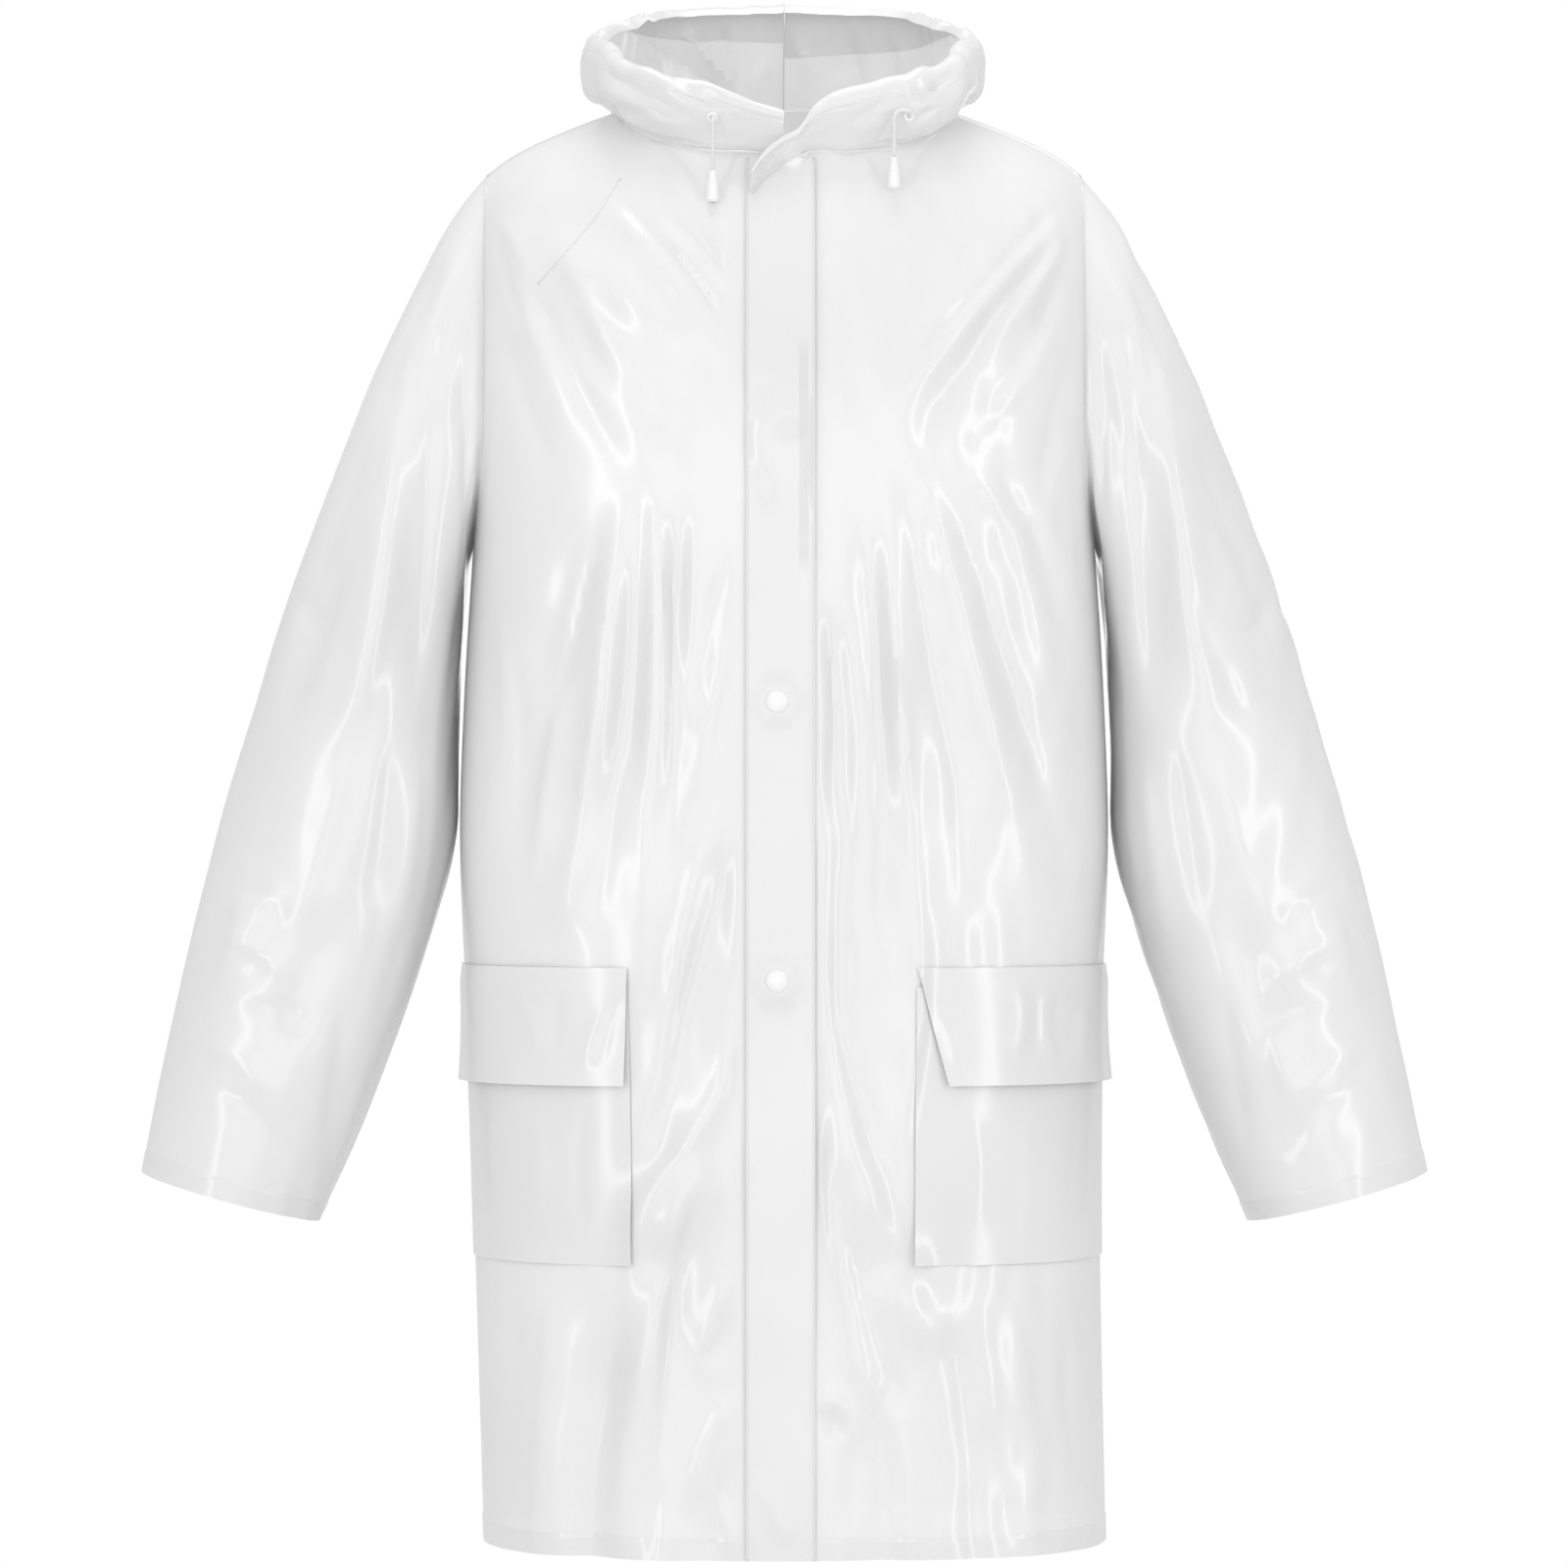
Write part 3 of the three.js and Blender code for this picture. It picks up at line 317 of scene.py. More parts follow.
def film_finish(name, tone, see_through, over_zip=0.0):
    finish = Finish(name)
    drawn = finish.noise(finish.place(stretch=(1, 1, 0.25)), 24.0, 2.0)
    cloud = finish.noise(finish.place(), 6.0, 2.0)
    colour = finish.mixed(cloud.between(0.3, 0.7), grey(tone - 0.02), grey(tone + 0.01))
    bump = finish.node("ShaderNodeBump", {}, 0.2, 0.0008, 1.0, drawn)
    alpha = cloud * 0.04 + (1 - see_through)
    if over_zip:
        across, _, up = finish.parts(finish.place())
        left, right = ZIP_X - STRIP_HALF, ZIP_X + STRIP_HALF
        strip = across.between(left - STRIP_SIDE_BLUR, left + STRIP_SIDE_BLUR)
        strip = strip * (1 - across.between(right - STRIP_SIDE_BLUR, right + STRIP_SIDE_BLUR))
        strip = strip * up.between(ZIP_BOTTOM - STRIP_END_BLUR, ZIP_BOTTOM + STRIP_END_BLUR)
        strip = strip * (1 - up.between(TEETH_SHOW - STRIP_END_BLUR, TEETH_SHOW + STRIP_END_BLUR))
        beside = (across - PULL_PLACE[0]) * (1 / PULL_PATCH[0])
        above = (up - PULL_PLACE[1]) * (1 / PULL_PATCH[1])
        patch = 1 - (beside * beside + above * above).between(0.1, 1.0)
        alpha = alpha - (strip + patch * 0.5) * over_zip
    return finish.surface(
        Base_Color=colour, Roughness=drawn * 0.12 + 0.3, IOR=1.53, Alpha=alpha, Coat_Weight=0.8,
        Coat_Roughness=0.16, Normal=bump,
    )


film_single = film_finish("film", 0.88, 0.18)
# Two layers of film hold back the light from behind; their base colour is painted darker as shade.
film_double_painted_shade = film_finish("film_two_layer_painted_shade", 0.81, 0.10)
film_hood = film_finish("film_hood", 0.86, 0.5)
film_flap = film_finish("film_flap", 0.84, 0.12, over_zip=0.13)


# %% Moulded plastic, tape and cord
def plastic_finish(name, tone, roughness):
    finish = Finish(name)
    cloud = finish.noise(finish.place(), 240.0, 2.0)
    colour = finish.mixed(cloud, grey(tone - 0.02), grey(tone + 0.02))
    bump = finish.node("ShaderNodeBump", {}, 0.2, 0.0002, 1.0, cloud)
    return finish.surface(
        Base_Color=colour, Roughness=cloud * 0.1 + roughness, Coat_Weight=0.3, Normal=bump
    )


plastic = plastic_finish("white_plastic", 0.88, 0.2)
tooth_plastic = plastic_finish("tooth_plastic", 0.92, 0.3)


def tape_finish():
    finish = Finish("zip_tape")
    across, _, up = finish.parts(finish.place())
    ribs = finish.node("ShaderNodeMath", {"operation": "SINE"}, across * 7000.0)
    picks = finish.node("ShaderNodeMath", {"operation": "SINE"}, up * 9000.0)
    weave = ribs * picks * 0.5 + 0.5
    bump = finish.node("ShaderNodeBump", {}, 0.5, 0.0003, 1.0, weave)
    return finish.surface(
        Base_Color=finish.mixed(weave, grey(0.72), grey(0.82)), Roughness=0.8, Normal=bump
    )


def cord_finish():
    finish = Finish("cord_braid")
    along = finish.node("ShaderNodeUVMap", {"uv_map": "along"})
    along, around, _ = finish.parts(along)
    first = finish.node("ShaderNodeMath", {"operation": "SINE"}, along * 1900.0 + around * 1250.0)
    second = finish.node("ShaderNodeMath", {"operation": "SINE"}, along * 1900.0 - around * 1250.0)
    weave = first * second * 0.5 + 0.5
    bump = finish.node("ShaderNodeBump", {}, 0.8, 0.0004, 1.0, weave)
    return finish.surface(Base_Color=finish.mixed(weave, grey(0.66), grey(0.86)), Roughness=0.75, Normal=bump)


tape, braid = tape_finish(), cord_finish()
for cord in cords.values():
    cord.data.materials.append(braid)
for name, node in nodes.items():
    node.data.materials.clear()
    node.data.materials.append(tape if name == "zip" else plastic)
print("materials:", [m.name for m in bpy.data.materials])

# %% [markdown]
# Every cloth solid is a wall 1.5 mm thick between two grids of points. The film is much thinner and
# far smoother, so each one is rebuilt: its outer grid is read back from the node, a smooth surface is
# run through those points, folds are pressed into it, and a thin shell is made of the result. Reading
# the grid back keeps every piece exactly where its solid is, and gives rows and columns to place
# folds, hems and welds by.

# %% Read a wall's outer grid back from its node
WALL = 1.5 * MM
MERGE = 0.02 * MM


def surface_normals(grid, ring=False):
    """Unit normals of a grid of points, by the directions along its rows and columns."""
    if ring:
        across = np.roll(grid, -1, axis=1) - np.roll(grid, 1, axis=1)
    else:
        across = np.gradient(grid, axis=1)
    normals = np.cross(across, np.gradient(grid, axis=0))
    return normals / np.maximum(np.linalg.norm(normals, axis=2), 1e-12)[..., None]


def largest_sheet(node):
    """The larger of a wall's two faces, as a mesh of merged triangles."""
    sheet = bmesh.new()
    sheet.from_mesh(node.data)
    bmesh.ops.remove_doubles(sheet, verts=sheet.verts, dist=MERGE)
    rim = [f for f in sheet.faces if min(e.calc_length() for e in f.edges) < WALL + MERGE / 10]
    bmesh.ops.delete(sheet, geom=rim, context="FACES_ONLY")
    unseen, islands = set(sheet.faces), []
    while unseen:
        front = [unseen.pop()]
        island = []
        while front:
            face = front.pop()
            island.append(face)
            for edge in face.edges:
                for near in edge.link_faces:
                    if near in unseen:
                        unseen.remove(near)
                        front.append(near)
        islands.append(island)
    islands.sort(key=lambda island: sum(f.calc_area() for f in island))
    inner = [f for island in islands[:-1] for f in island]
    bmesh.ops.delete(sheet, geom=inner, context="FACES")
    return sheet


def step(a, b, used):
    """Across the unused triangle on the edge from a to b: the vertex beyond it."""
    edge = next(e for e in a.link_edges if e.other_vert(a) is b)
    face = next((f for f in edge.link_faces if f not in used), None)
    if face is None:
        return None
    used.add(face)
    return next(v for v in face.verts if v not in edge.verts)


def border_from(start, ahead, last):
    """Along the sheet's border, from one vertex by the next one to where last says so."""
    line = [start, ahead]
    while not last(line[-1]):
        border = [e.other_vert(line[-1]) for e in line[-1].link_edges if e.is_boundary]
        line.append(next(v for v in border if v is not line[-2]))
    return line


def top_row(sheet, columns, key):
    """The first row of an open wall: it ends at the one corner at the top with a single triangle."""
    corner = max((v for v in sheet.verts if len(v.link_faces) == 1), key=key)
    for edge in [e for e in corner.link_edges if e.is_boundary]:
        line = border_from(corner, edge.other_vert(corner), lambda v: len(v.link_faces) == 2)
        if len(line) == columns:
            return line[::-1]


def top_ring(sheet, key):
    """The first ring of a tube, from its highest vertex round by the front."""
    border = [v for v in sheet.verts if v.is_boundary]
    start = min(border, key=key)
    ring = {v for v in border if abs(key(v) - key(start)) < 20 * MM}
    start = max(ring, key=lambda v: v.co.z)
    ahead = min((e.other_vert(start) for e in start.link_edges if e.is_boundary), key=lambda v: v.co.y)
    return border_from(start, ahead, lambda v: v is start)[:-1]


def wall_grid(name, columns=None, key=lambda v: v.co.z):
    """Rows of points of a cloth wall's outer face, from its top or neckline, and which way it faces.

    A tube has no number of columns."""
    sheet = largest_sheet(nodes[name])
    row = top_row(sheet, columns, key) if columns else top_ring(sheet, lambda v: abs(v.co.x))
    rows, used = [row], set()
    while True:
        below = [None] * len(row)
        for c in range(len(row) - (1 if columns else 0)):
            beyond = step(row[c], row[(c + 1) % len(row)], used)
            if beyond is None:
                break
            below[(c + 1) % len(row)] = beyond
            below[c] = step(row[c], beyond, used)
        if below[0] is None:
            break
        row = below
        rows.append(row)
    sheet.normal_update()
    grid = np.array([[v.co for v in line] for line in rows])
    facing = np.array([[v.normal for v in line] for line in rows])
    sheet.free()
    return grid, float(np.sign((surface_normals(grid, columns is None) * facing).sum()))


# %% [markdown]
# A smooth curve through uneven points needs slopes that know how far apart the points are. The same
# small function runs first along every row and then along every column, which gives a smooth surface
# through the whole grid. A sleeve is a ring, so its rows go on past their own start.

# %% A smooth surface through a grid
def through(points, knots, places):
    """Values at places of a smooth curve that passes through points at knots."""
    upright = (-1,) + (1,) * (points.ndim - 1)
    gaps = np.diff(knots)
    rises = np.diff(points, axis=0) / gaps.reshape(upright)
    before, after = gaps[:-1].reshape(upright), gaps[1:].reshape(upright)
    inner = (rises[:-1] * after + rises[1:] * before) / (before + after)
    slopes = np.concatenate([rises[:1], inner, rises[-1:]])
    k = np.clip(np.searchsorted(knots, places, side="right") - 1, 0, len(gaps) - 1)
    t = ((places - knots[k]) / gaps[k]).reshape(upright)
    span = gaps[k].reshape(upright)
    return (
        (2 * t**3 - 3 * t**2 + 1) * points[k] + (t**3 - 2 * t**2 + t) * span * slopes[k]
        + (3 * t**2 - 2 * t**3) * points[k + 1] + (t**3 - t**2) * span * slopes[k + 1]
    )


def lengths_along(grid, axis):
    """Mean distance from the first row or column to each one."""
    gaps = np.linalg.norm(np.diff(grid, axis=axis), axis=2).mean(axis=1 - axis)
    return np.r_[0, np.cumsum(gaps)]


def even_places(total, spacing, extra=()):
    """Even places from 0 to total, with extra ones between them."""
    even = np.linspace(0, total, max(int(round(total / spacing)), 2) + 1)
    extra = np.array([e for e in extra if 0 < e < total])
    clear = [e for e in even if not len(extra) or abs(extra - e).min() > 0.25 * spacing or e in (0, total)]
    return np.array(sorted([*clear, *extra]))


class Surface:
    """A dense grid of points on a cloth piece, with its distances down and across."""

    def __init__(self, grid, facing, spacing, ring=False, extra_down=()):
        self.facing = facing
        self.ring = ring
        down = lengths_along(grid, 0)
        if ring:
            grid = np.concatenate([grid[:, -2:], grid, grid[:, :3]], axis=1)
        across = lengths_along(grid, 1)
        if ring:
            across = across - across[2]
            girth = across[-3]
            self.across = even_places(girth, spacing)[:-1]
        else:
            self.across = even_places(across[-1], spacing)
        self.down = even_places(down[-1], spacing, [e if e > 0 else down[-1] + e for e in extra_down])
        rows = through(np.swapaxes(grid, 0, 1), across, self.across)
        self.points = through(np.swapaxes(rows, 0, 1), down, self.down)

    def normals(self):
        return surface_normals(self.points, self.ring) * self.facing

    def lift(self, rise, direction=None):
        """Moves each point by its rise, in millimetres, along its normal or along one direction."""
        way = self.normals() if direction is None else np.asarray(direction, float)
        self.points = self.points + way * (rise * MM)[..., None]


# %% [markdown]
# The solids already hang in a few large folds, but their grids are coarse, so a fold there is a run
# of flat facets. Those folds are taken out of the coarse grid with the formula that put them in. On
# the dense one they come back round, and their ends fade out the way a fold in cloth does.

# %% Large folds
FRONT_FOLDS = [  # from x, z to x, z, then width and rise, in millimetres
    (-139, -285, -193, -450, 20, -7), (-119, -264, -143, -508, 15, 8), (-143, -508, -172, -600, 15, 5),
    (-100, -310, -113, -508, 13, -6), (-88, -262, -90, -500, 11, 6), (-76, -262, -80, -440, 12, -6),
    (-48, -745, -98, -830, 18, 8), (-98, -830, -92, -1046, 18, 8), (-128, -850, -140, -1046, 20, -8),
    (34, -330, 38, -510, 13, -6), (58, -268, 74, -510, 13, -5), (78, -275, 88, -510, 12, 7),
    (105, -262, 178, -510, 16, 8), (112, -300, 196, -500, 14, -6), (32, -705, 76, -832, 16, 7),
    (76, -832, 118, -900, 16, 7), (60, -900, 72, -1046, 20, -7), (-195, -60, -52, -175, 15, 5),
    (-190, -110, -60, -245, 16, -5), (200, -55, 72, -200, 15, 5), (196, -110, 80, -245, 16, -5),
]
BACK_FOLDS = [
    (-130, -240, -165, -620, 22, 8), (-80, -280, -95, -900, 20, -7), (-30, -330, -45, -1046, 18, 7),
    (25, -300, 30, -840, 18, -7), (70, -260, 95, -1046, 20, 8), (135, -250, 160, -760, 22, -7),
    (-190, -70, -70, -230, 16, 5), (190, -70, 70, -230, 16, 5),
]
SLEEVE_FOLDS = [
    (328, -303, 384, -451, 13, -7), (266, -185, 281, -451, 14, -7), (290, -200, 318, -470, 14, 6),
    (372, -540, 430, -640, 14, 6), (330, -560, 372, -690, 14, -6),
]
SHOULDER_X = [0, 60, 122, 160, 200, 224]
SHOULDER_Z = [38, 36, 26, 13, -5, -22]
HEM_Z = -1046


def eased(v):
    v = np.clip(v, 0, 1)
    return v * v * (3 - 2 * v)


def fold_rise(table, x, z, soft_ends=False):
    """How far a table's large folds lift the cloth, in millimetres."""
    rise = np.zeros_like(x)
    for x0, z0, x1, z1, width, height in table:
        dx, dz = x1 - x0, z1 - z0
        t = np.clip(((x - x0) * dx + (z - z0) * dz) / (dx * dx + dz * dz), 0, 1)
        away = np.hypot(x - x0 - t * dx, z - z0 - t * dz) / width
        lift = height * np.exp(-away * away)
        if soft_ends:
            lift = lift * eased(t / 0.4)
            if z1 > HEM_Z:
                lift = lift * eased((1 - t) / 0.4)
        rise += lift
    return rise


def body_fade(front, x, z):
    """Folds fade at the side seams, at the shoulder, and in front beside the closure."""
    side = 1 - np.clip(abs(x) / 232, 0, 1) ** 8
    closure = eased((abs(x + 4) - 26) / 16) if front else 1
    top = eased((np.interp(abs(x), SHOULDER_X, SHOULDER_Z) - 12 - z) / 60)
    return side * closure * top


def large_folds(kind, points, turns=None, soft_ends=False):
    """The large folds at these points, as a rise along y in millimetres."""
    x, z = points[..., 0] / MM, points[..., 2] / MM
    if kind == "front":
        return -fold_rise(FRONT_FOLDS, x, z, soft_ends) * body_fade(True, x, z)
    if kind == "back":
        return fold_rise(BACK_FOLDS, x, z, soft_ends) * body_fade(False, x, z)
    return -fold_rise(SLEEVE_FOLDS, abs(x), z, soft_ends) * np.sin(turns)


# %% [markdown]
# Finer creases are placed one by one. Each runs through a few places, as long, deep and bent as the
# photograph shows it: they fan out from the shoulders over the chest, gather at its middle, and hang
# from there to the hem. Both ends taper away. The crest is rounder than a crack but sharper than a
# wave, and one flank is steeper than the other.

# %% Creases read off the photograph
FRONT_CREASES = [  # width and rise in millimetres, then places in photograph pixels
    (7, 2.6, (612, 192), (680, 275), (750, 385)), (5, -2.0, (622, 185), (695, 265), (757, 362)),
    (6, 2.2, (640, 205), (700, 262), (757, 335)), (6, -2.0, (668, 200), (715, 245), (757, 300)),
    (6, 1.8, (705, 195), (735, 235), (757, 285)), (10, 2.6, (560, 235), (610, 330), (665, 470)),
    (10, -3.4, (535, 270), (580, 370), (640, 480)), (9, 2.4, (505, 235), (540, 330), (590, 470)),
    (10, -3.2, (500, 290), (530, 400), (570, 500)), (6, 2.0, (495, 190), (520, 240), (548, 290)),
    (5, -1.8, (492, 210), (512, 270), (535, 330)), (7, 1.8, (590, 300), (640, 370), (680, 430)),
    (6, -2.4, (1112, 165), (1000, 290), (905, 402)), (6, 2.4, (1108, 190), (1010, 300), (915, 420)),
    (6, -2.4, (1100, 215), (1030, 300), (945, 430)), (7, 2.6, (1098, 235), (1040, 310), (960, 445)),
    (8, -2.8, (1090, 270), (1050, 350), (985, 450)), (8, 2.4, (1085, 310), (1055, 370), (1000, 455)),
    (5, -2.0, (1105, 225), (1075, 300), (1060, 340)), (5, 2.0, (1100, 210), (1062, 285), (1045, 330)),
    (9, -3.0, (1098, 350), (1080, 420), (1060, 520)), (7, 2.4, (1095, 440), (1078, 490), (1065, 545)),
    (8, -2.0, (1060, 395), (1020, 430), (990, 470)), (8, 3.4, (636, 488), (618, 640), (598, 800), (566, 985)),
    (7, -3.2, (618, 500), (590, 640), (545, 790), (530, 960)), (7, 2.6, (600, 540), (572, 680), (528, 975)),
    (8, -3.0, (652, 500), (640, 660), (622, 830), (600, 980)), (7, 3.4, (668, 480), (672, 620), (652, 985)),
    (6, -3.0, (690, 490), (688, 620), (686, 760), (680, 900)), (6, 2.2, (712, 500), (706, 620), (700, 760)),
    (6, -2.4, (750, 545), (722, 640), (706, 730)), (6, 2.2, (757, 590), (735, 690), (715, 790)),
    (5, -1.8, (758, 620), (742, 700), (730, 780)),
    (11, -4.5, (752, 820), (728, 930), (690, 1060), (662, 1215)),
    (9, 4.0, (756, 980), (740, 1100), (700, 1170), (655, 1240), (640, 1370)),
    (8, 3.0, (735, 800), (700, 940), (680, 1080), (655, 1180)),
    (10, -4.0, (735, 1165), (700, 1260), (682, 1380), (665, 1560), (662, 1660)),
    (9, 3.2, (700, 1230), (668, 1350), (640, 1480), (632, 1660)),
    (10, -3.0, (640, 1290), (622, 1420), (600, 1560), (596, 1660)),
    (7, 2.0, (745, 1290), (728, 1340), (712, 1420)),
    (6, -2.0, (757, 1330), (735, 1370), (705, 1400)), (6, 2.0, (750, 1420), (720, 1470), (700, 1550)),
    (6, -2.0, (757, 1470), (735, 1530), (722, 1600)), (5, 1.8, (722, 1500), (745, 1560), (762, 1600)),
    (9, 2.2, (560, 1310), (552, 1440), (540, 1660)), (9, -2.0, (525, 1300), (520, 1420), (508, 1560)),
    (6, 2.2, (505, 610), (512, 720), (505, 820)), (6, -2.2, (520, 640), (530, 760), (515, 900)),
    (6, 2.0, (490, 700), (500, 790), (490, 880)), (8, -3.0, (838, 585), (850, 720), (838, 880)),
    (10, 3.8, (850, 620), (835, 800), (838, 1000), (870, 1150), (935, 1325)),
    (10, -3.8, (868, 640), (862, 840), (855, 1020), (885, 1150), (955, 1385)),
    (8, -2.8, (878, 500), (896, 680), (900, 880), (905, 1000)),
    (8, 3.4, (905, 490), (912, 640), (928, 820), (940, 1000), (925, 1150), (920, 1310)),
    (7, -3.0, (925, 490), (945, 640), (975, 800), (985, 960)), (8, 3.4, (942, 480), (985, 640), (1080, 985)),
    (7, -3.0, (958, 480), (1010, 620), (1060, 780), (1095, 900)),
    (7, 3.2, (985, 475), (1040, 560), (1095, 810)),
    (6, -2.4, (1010, 465), (1065, 560), (1090, 660)), (6, 2.4, (1040, 480), (1085, 560), (1100, 640)),
    (9, 3.0, (835, 1120), (850, 1250), (880, 1400), (885, 1660)),
    (8, -2.6, (862, 1230), (890, 1350), (930, 1460)),
    (6, 3.0, (826, 1440), (845, 1428), (866, 1450), (862, 1490)),
    (5, -2.2, (832, 1456), (848, 1446), (856, 1470)),
    (8, 2.2, (900, 1400), (925, 1500), (930, 1660)), (9, -2.4, (970, 1330), (985, 1450), (1000, 1660)),
    (9, 2.2, (1030, 1310), (1050, 1440), (1060, 1660)), (9, -2.2, (1085, 1320), (1095, 1450), (1100, 1660)),
    (8, 2.0, (1000, 1310), (1010, 1400), (1015, 1480)),
]
POCKET_CREASES = [
    (4, 1.3, (1040, 1000), (1046, 1040), (1038, 1085)), (4, -1.2, (1052, 998), (1060, 1035), (1054, 1090)),
    (4, 1.4, (1070, 1000), (1066, 1050), (1078, 1095)), (4, -1.0, (1085, 1005), (1080, 1050), (1092, 1090)),
    (5, 1.2, (1112, 1010), (1108, 1060), (1104, 1100)), (4, -0.9, (958, 1035), (970, 1060), (976, 1092)),
    (5, 1.2, (622, 1020), (604, 1060), (596, 1098)), (4, -1.0, (634, 1010), (620, 1050), (610, 1092)),
    (5, 1.0, (520, 1002), (540, 1040), (548, 1080)), (5, -0.9, (560, 1004), (568, 1040), (560, 1085)),
    (6, 1.2, (500, 1130), (494, 1190), (500, 1270)), (6, -0.9, (600, 1125), (590, 1190), (598, 1270)),
    (7, 1.0, (990, 1125), (1000, 1190), (995, 1270)), (7, -0.8, (1105, 1125), (1098, 1190), (1090, 1270)),
    (6, 0.9, (545, 1130), (552, 1200), (540, 1280)), (6, 0.8, (1045, 1130), (1050, 1210), (1046, 1280)),
]
FLAP_CREASES = [
    (5, 1.2, (771, 190), (779, 215), (784, 232)), (4, -1.0, (786, 188), (784, 212), (785, 232)),
    (5, 0.8, (768, 1500), (790, 1545), (806, 1575)), (6, 0.7, (806, 1200), (792, 1290), (780, 1380)),
]
SLEEVE_CREASES = {
    "right": [
        (9, -3.0, (355, 560), (325, 660), (280, 760)), (8, 2.6, (330, 520), (302, 620), (262, 720)),
        (9, -3.2, (440, 400), (436, 580), (420, 760)), (8, 3.0, (470, 380), (464, 560), (445, 720)),
        (8, 2.4, (410, 380), (400, 540), (385, 700)), (7, -3.0, (300, 595), (312, 620), (330, 640)),
        (9, 2.6, (480, 230), (445, 320), (420, 420)), (9, -2.6, (455, 250), (410, 350), (380, 450)),
        (8, -2.4, (500, 260), (480, 360), (465, 470)), (9, 2.6, (360, 760), (335, 860), (300, 960)),
        (9, -2.4, (400, 740), (390, 850), (370, 960)), (8, 2.2, (430, 760), (420, 870), (405, 980)),
        (8, -3.0, (235, 900), (270, 915), (300, 950)), (8, 2.8, (225, 950), (270, 970), (310, 1010)),
        (8, -2.6, (240, 1020), (290, 1030), (330, 1060)), (9, 2.4, (320, 960), (305, 1060), (280, 1160)),
        (8, 2.2, (260, 860), (245, 940), (225, 1010)), (8, -2.2, (355, 1000), (345, 1090), (330, 1190)),
        (8, 2.2, (200, 1060), (250, 1085), (290, 1130)), (8, -2.0, (210, 1100), (260, 1130), (300, 1190)),
        (6, 2.2, (488, 420), (482, 560), (470, 700)), (7, -2.2, (380, 430), (352, 520), (318, 600)),
    ],
    "left": [
        (9, -3.0, (1200, 560), (1235, 665), (1290, 760)), (8, 2.6, (1230, 520), (1270, 620), (1325, 720)),
        (9, -3.2, (1155, 400), (1162, 580), (1180, 760)), (8, 3.0, (1128, 380), (1138, 560), (1150, 720)),
        (8, 2.4, (1190, 380), (1200, 540), (1215, 700)), (7, -3.0, (1300, 600), (1285, 630), (1268, 650)),
        (9, 2.6, (1110, 230), (1150, 320), (1175, 420)), (9, -2.6, (1140, 250), (1185, 350), (1215, 450)),
        (8, -2.4, (1100, 270), (1122, 370), (1135, 480)), (9, 2.6, (1235, 760), (1262, 860), (1300, 960)),
        (9, -2.4, (1195, 740), (1210, 850), (1230, 960)), (8, 2.2, (1165, 760), (1178, 870), (1195, 980)),
        (8, -3.0, (1365, 900), (1330, 918), (1300, 950)), (8, 2.8, (1375, 950), (1330, 972), (1290, 1010)),
        (8, -2.6, (1365, 1020), (1315, 1032), (1275, 1060)),
        (9, 2.4, (1280, 960), (1298, 1060), (1325, 1160)),
        (8, 2.2, (1345, 860), (1362, 940), (1380, 1010)), (8, -2.2, (1245, 1000), (1258, 1090), (1275, 1190)),
        (8, 2.2, (1400, 1060), (1350, 1088), (1310, 1130)),
        (8, -2.0, (1395, 1100), (1340, 1135), (1300, 1190)),
        (6, 2.2, (1112, 420), (1120, 560), (1132, 700)), (7, -2.2, (1215, 430), (1245, 520), (1280, 600)),
    ],
}
HOOD_FRONT_CREASES = [
    (5, -2.2, (604, 62), (650, 92), (712, 132)), (5, 2.2, (602, 80), (650, 108), (700, 132)),
    (4, -1.8, (602, 98), (640, 115), (690, 134)), (5, 2.0, (640, 66), (680, 88), (725, 128)),
    (4, -1.8, (660, 60), (700, 90), (745, 130)), (5, 2.2, (690, 62), (730, 95), (770, 130)),
    (4, 1.8, (606, 112), (660, 122), (712, 130)), (5, 2.2, (990, 80), (960, 112), (900, 150)),
    (5, -2.2, (985, 60), (950, 95), (895, 138)), (4, 1.8, (992, 105), (950, 132), (905, 152)),
    (4, -1.8, (975, 100), (930, 125), (870, 148)), (5, 2.0, (955, 50), (930, 85), (880, 115)),
    (4, -1.8, (935, 75), (900, 105), (860, 135)),
]
HOOD_BACK_CREASES = [
    (5, 2.6, (755, 90), (700, 60), (640, 30)), (5, -2.6, (755, 90), (715, 50), (690, 15)),
    (5, 2.4, (757, 88), (745, 50), (735, 10)), (5, -2.4, (760, 85), (790, 50), (830, 15)),
    (4, 2.2, (765, 88), (830, 70), (900, 60)), (5, -2.4, (770, 92), (850, 85), (930, 80)),
    (5, 2.2, (860, 20), (880, 60), (870, 95)), (5, -2.2, (900, 15), (925, 50), (920, 90)),
    (4, 2.2, (640, 25), (680, 50), (660, 85)), (5, -2.8, (700, 20), (725, 55), (760, 80)),
    (5, 2.4, (950, 25), (965, 60), (950, 95)), (4, -2.0, (800, 5), (815, 40), (850, 80)),
    (4, 2.0, (610, 50), (650, 70), (700, 85)), (5, 2.2, (700, 100), (690, 150), (670, 200)),
    (5, -2.2, (760, 110), (755, 160), (765, 220)), (5, 2.4, (840, 105), (850, 160), (835, 215)),
    (5, -2.0, (900, 100), (915, 150), (925, 200)), (5, 2.0, (650, 90), (635, 130), (640, 180)),
]

# %% [markdown]
# The back and the backs of the sleeves don't show. They get folds of the same kind and size, which
# follow from how the coat hangs: fans from the shoulder blades, long folds down to the hem, and short
# cross creases inside the elbow.

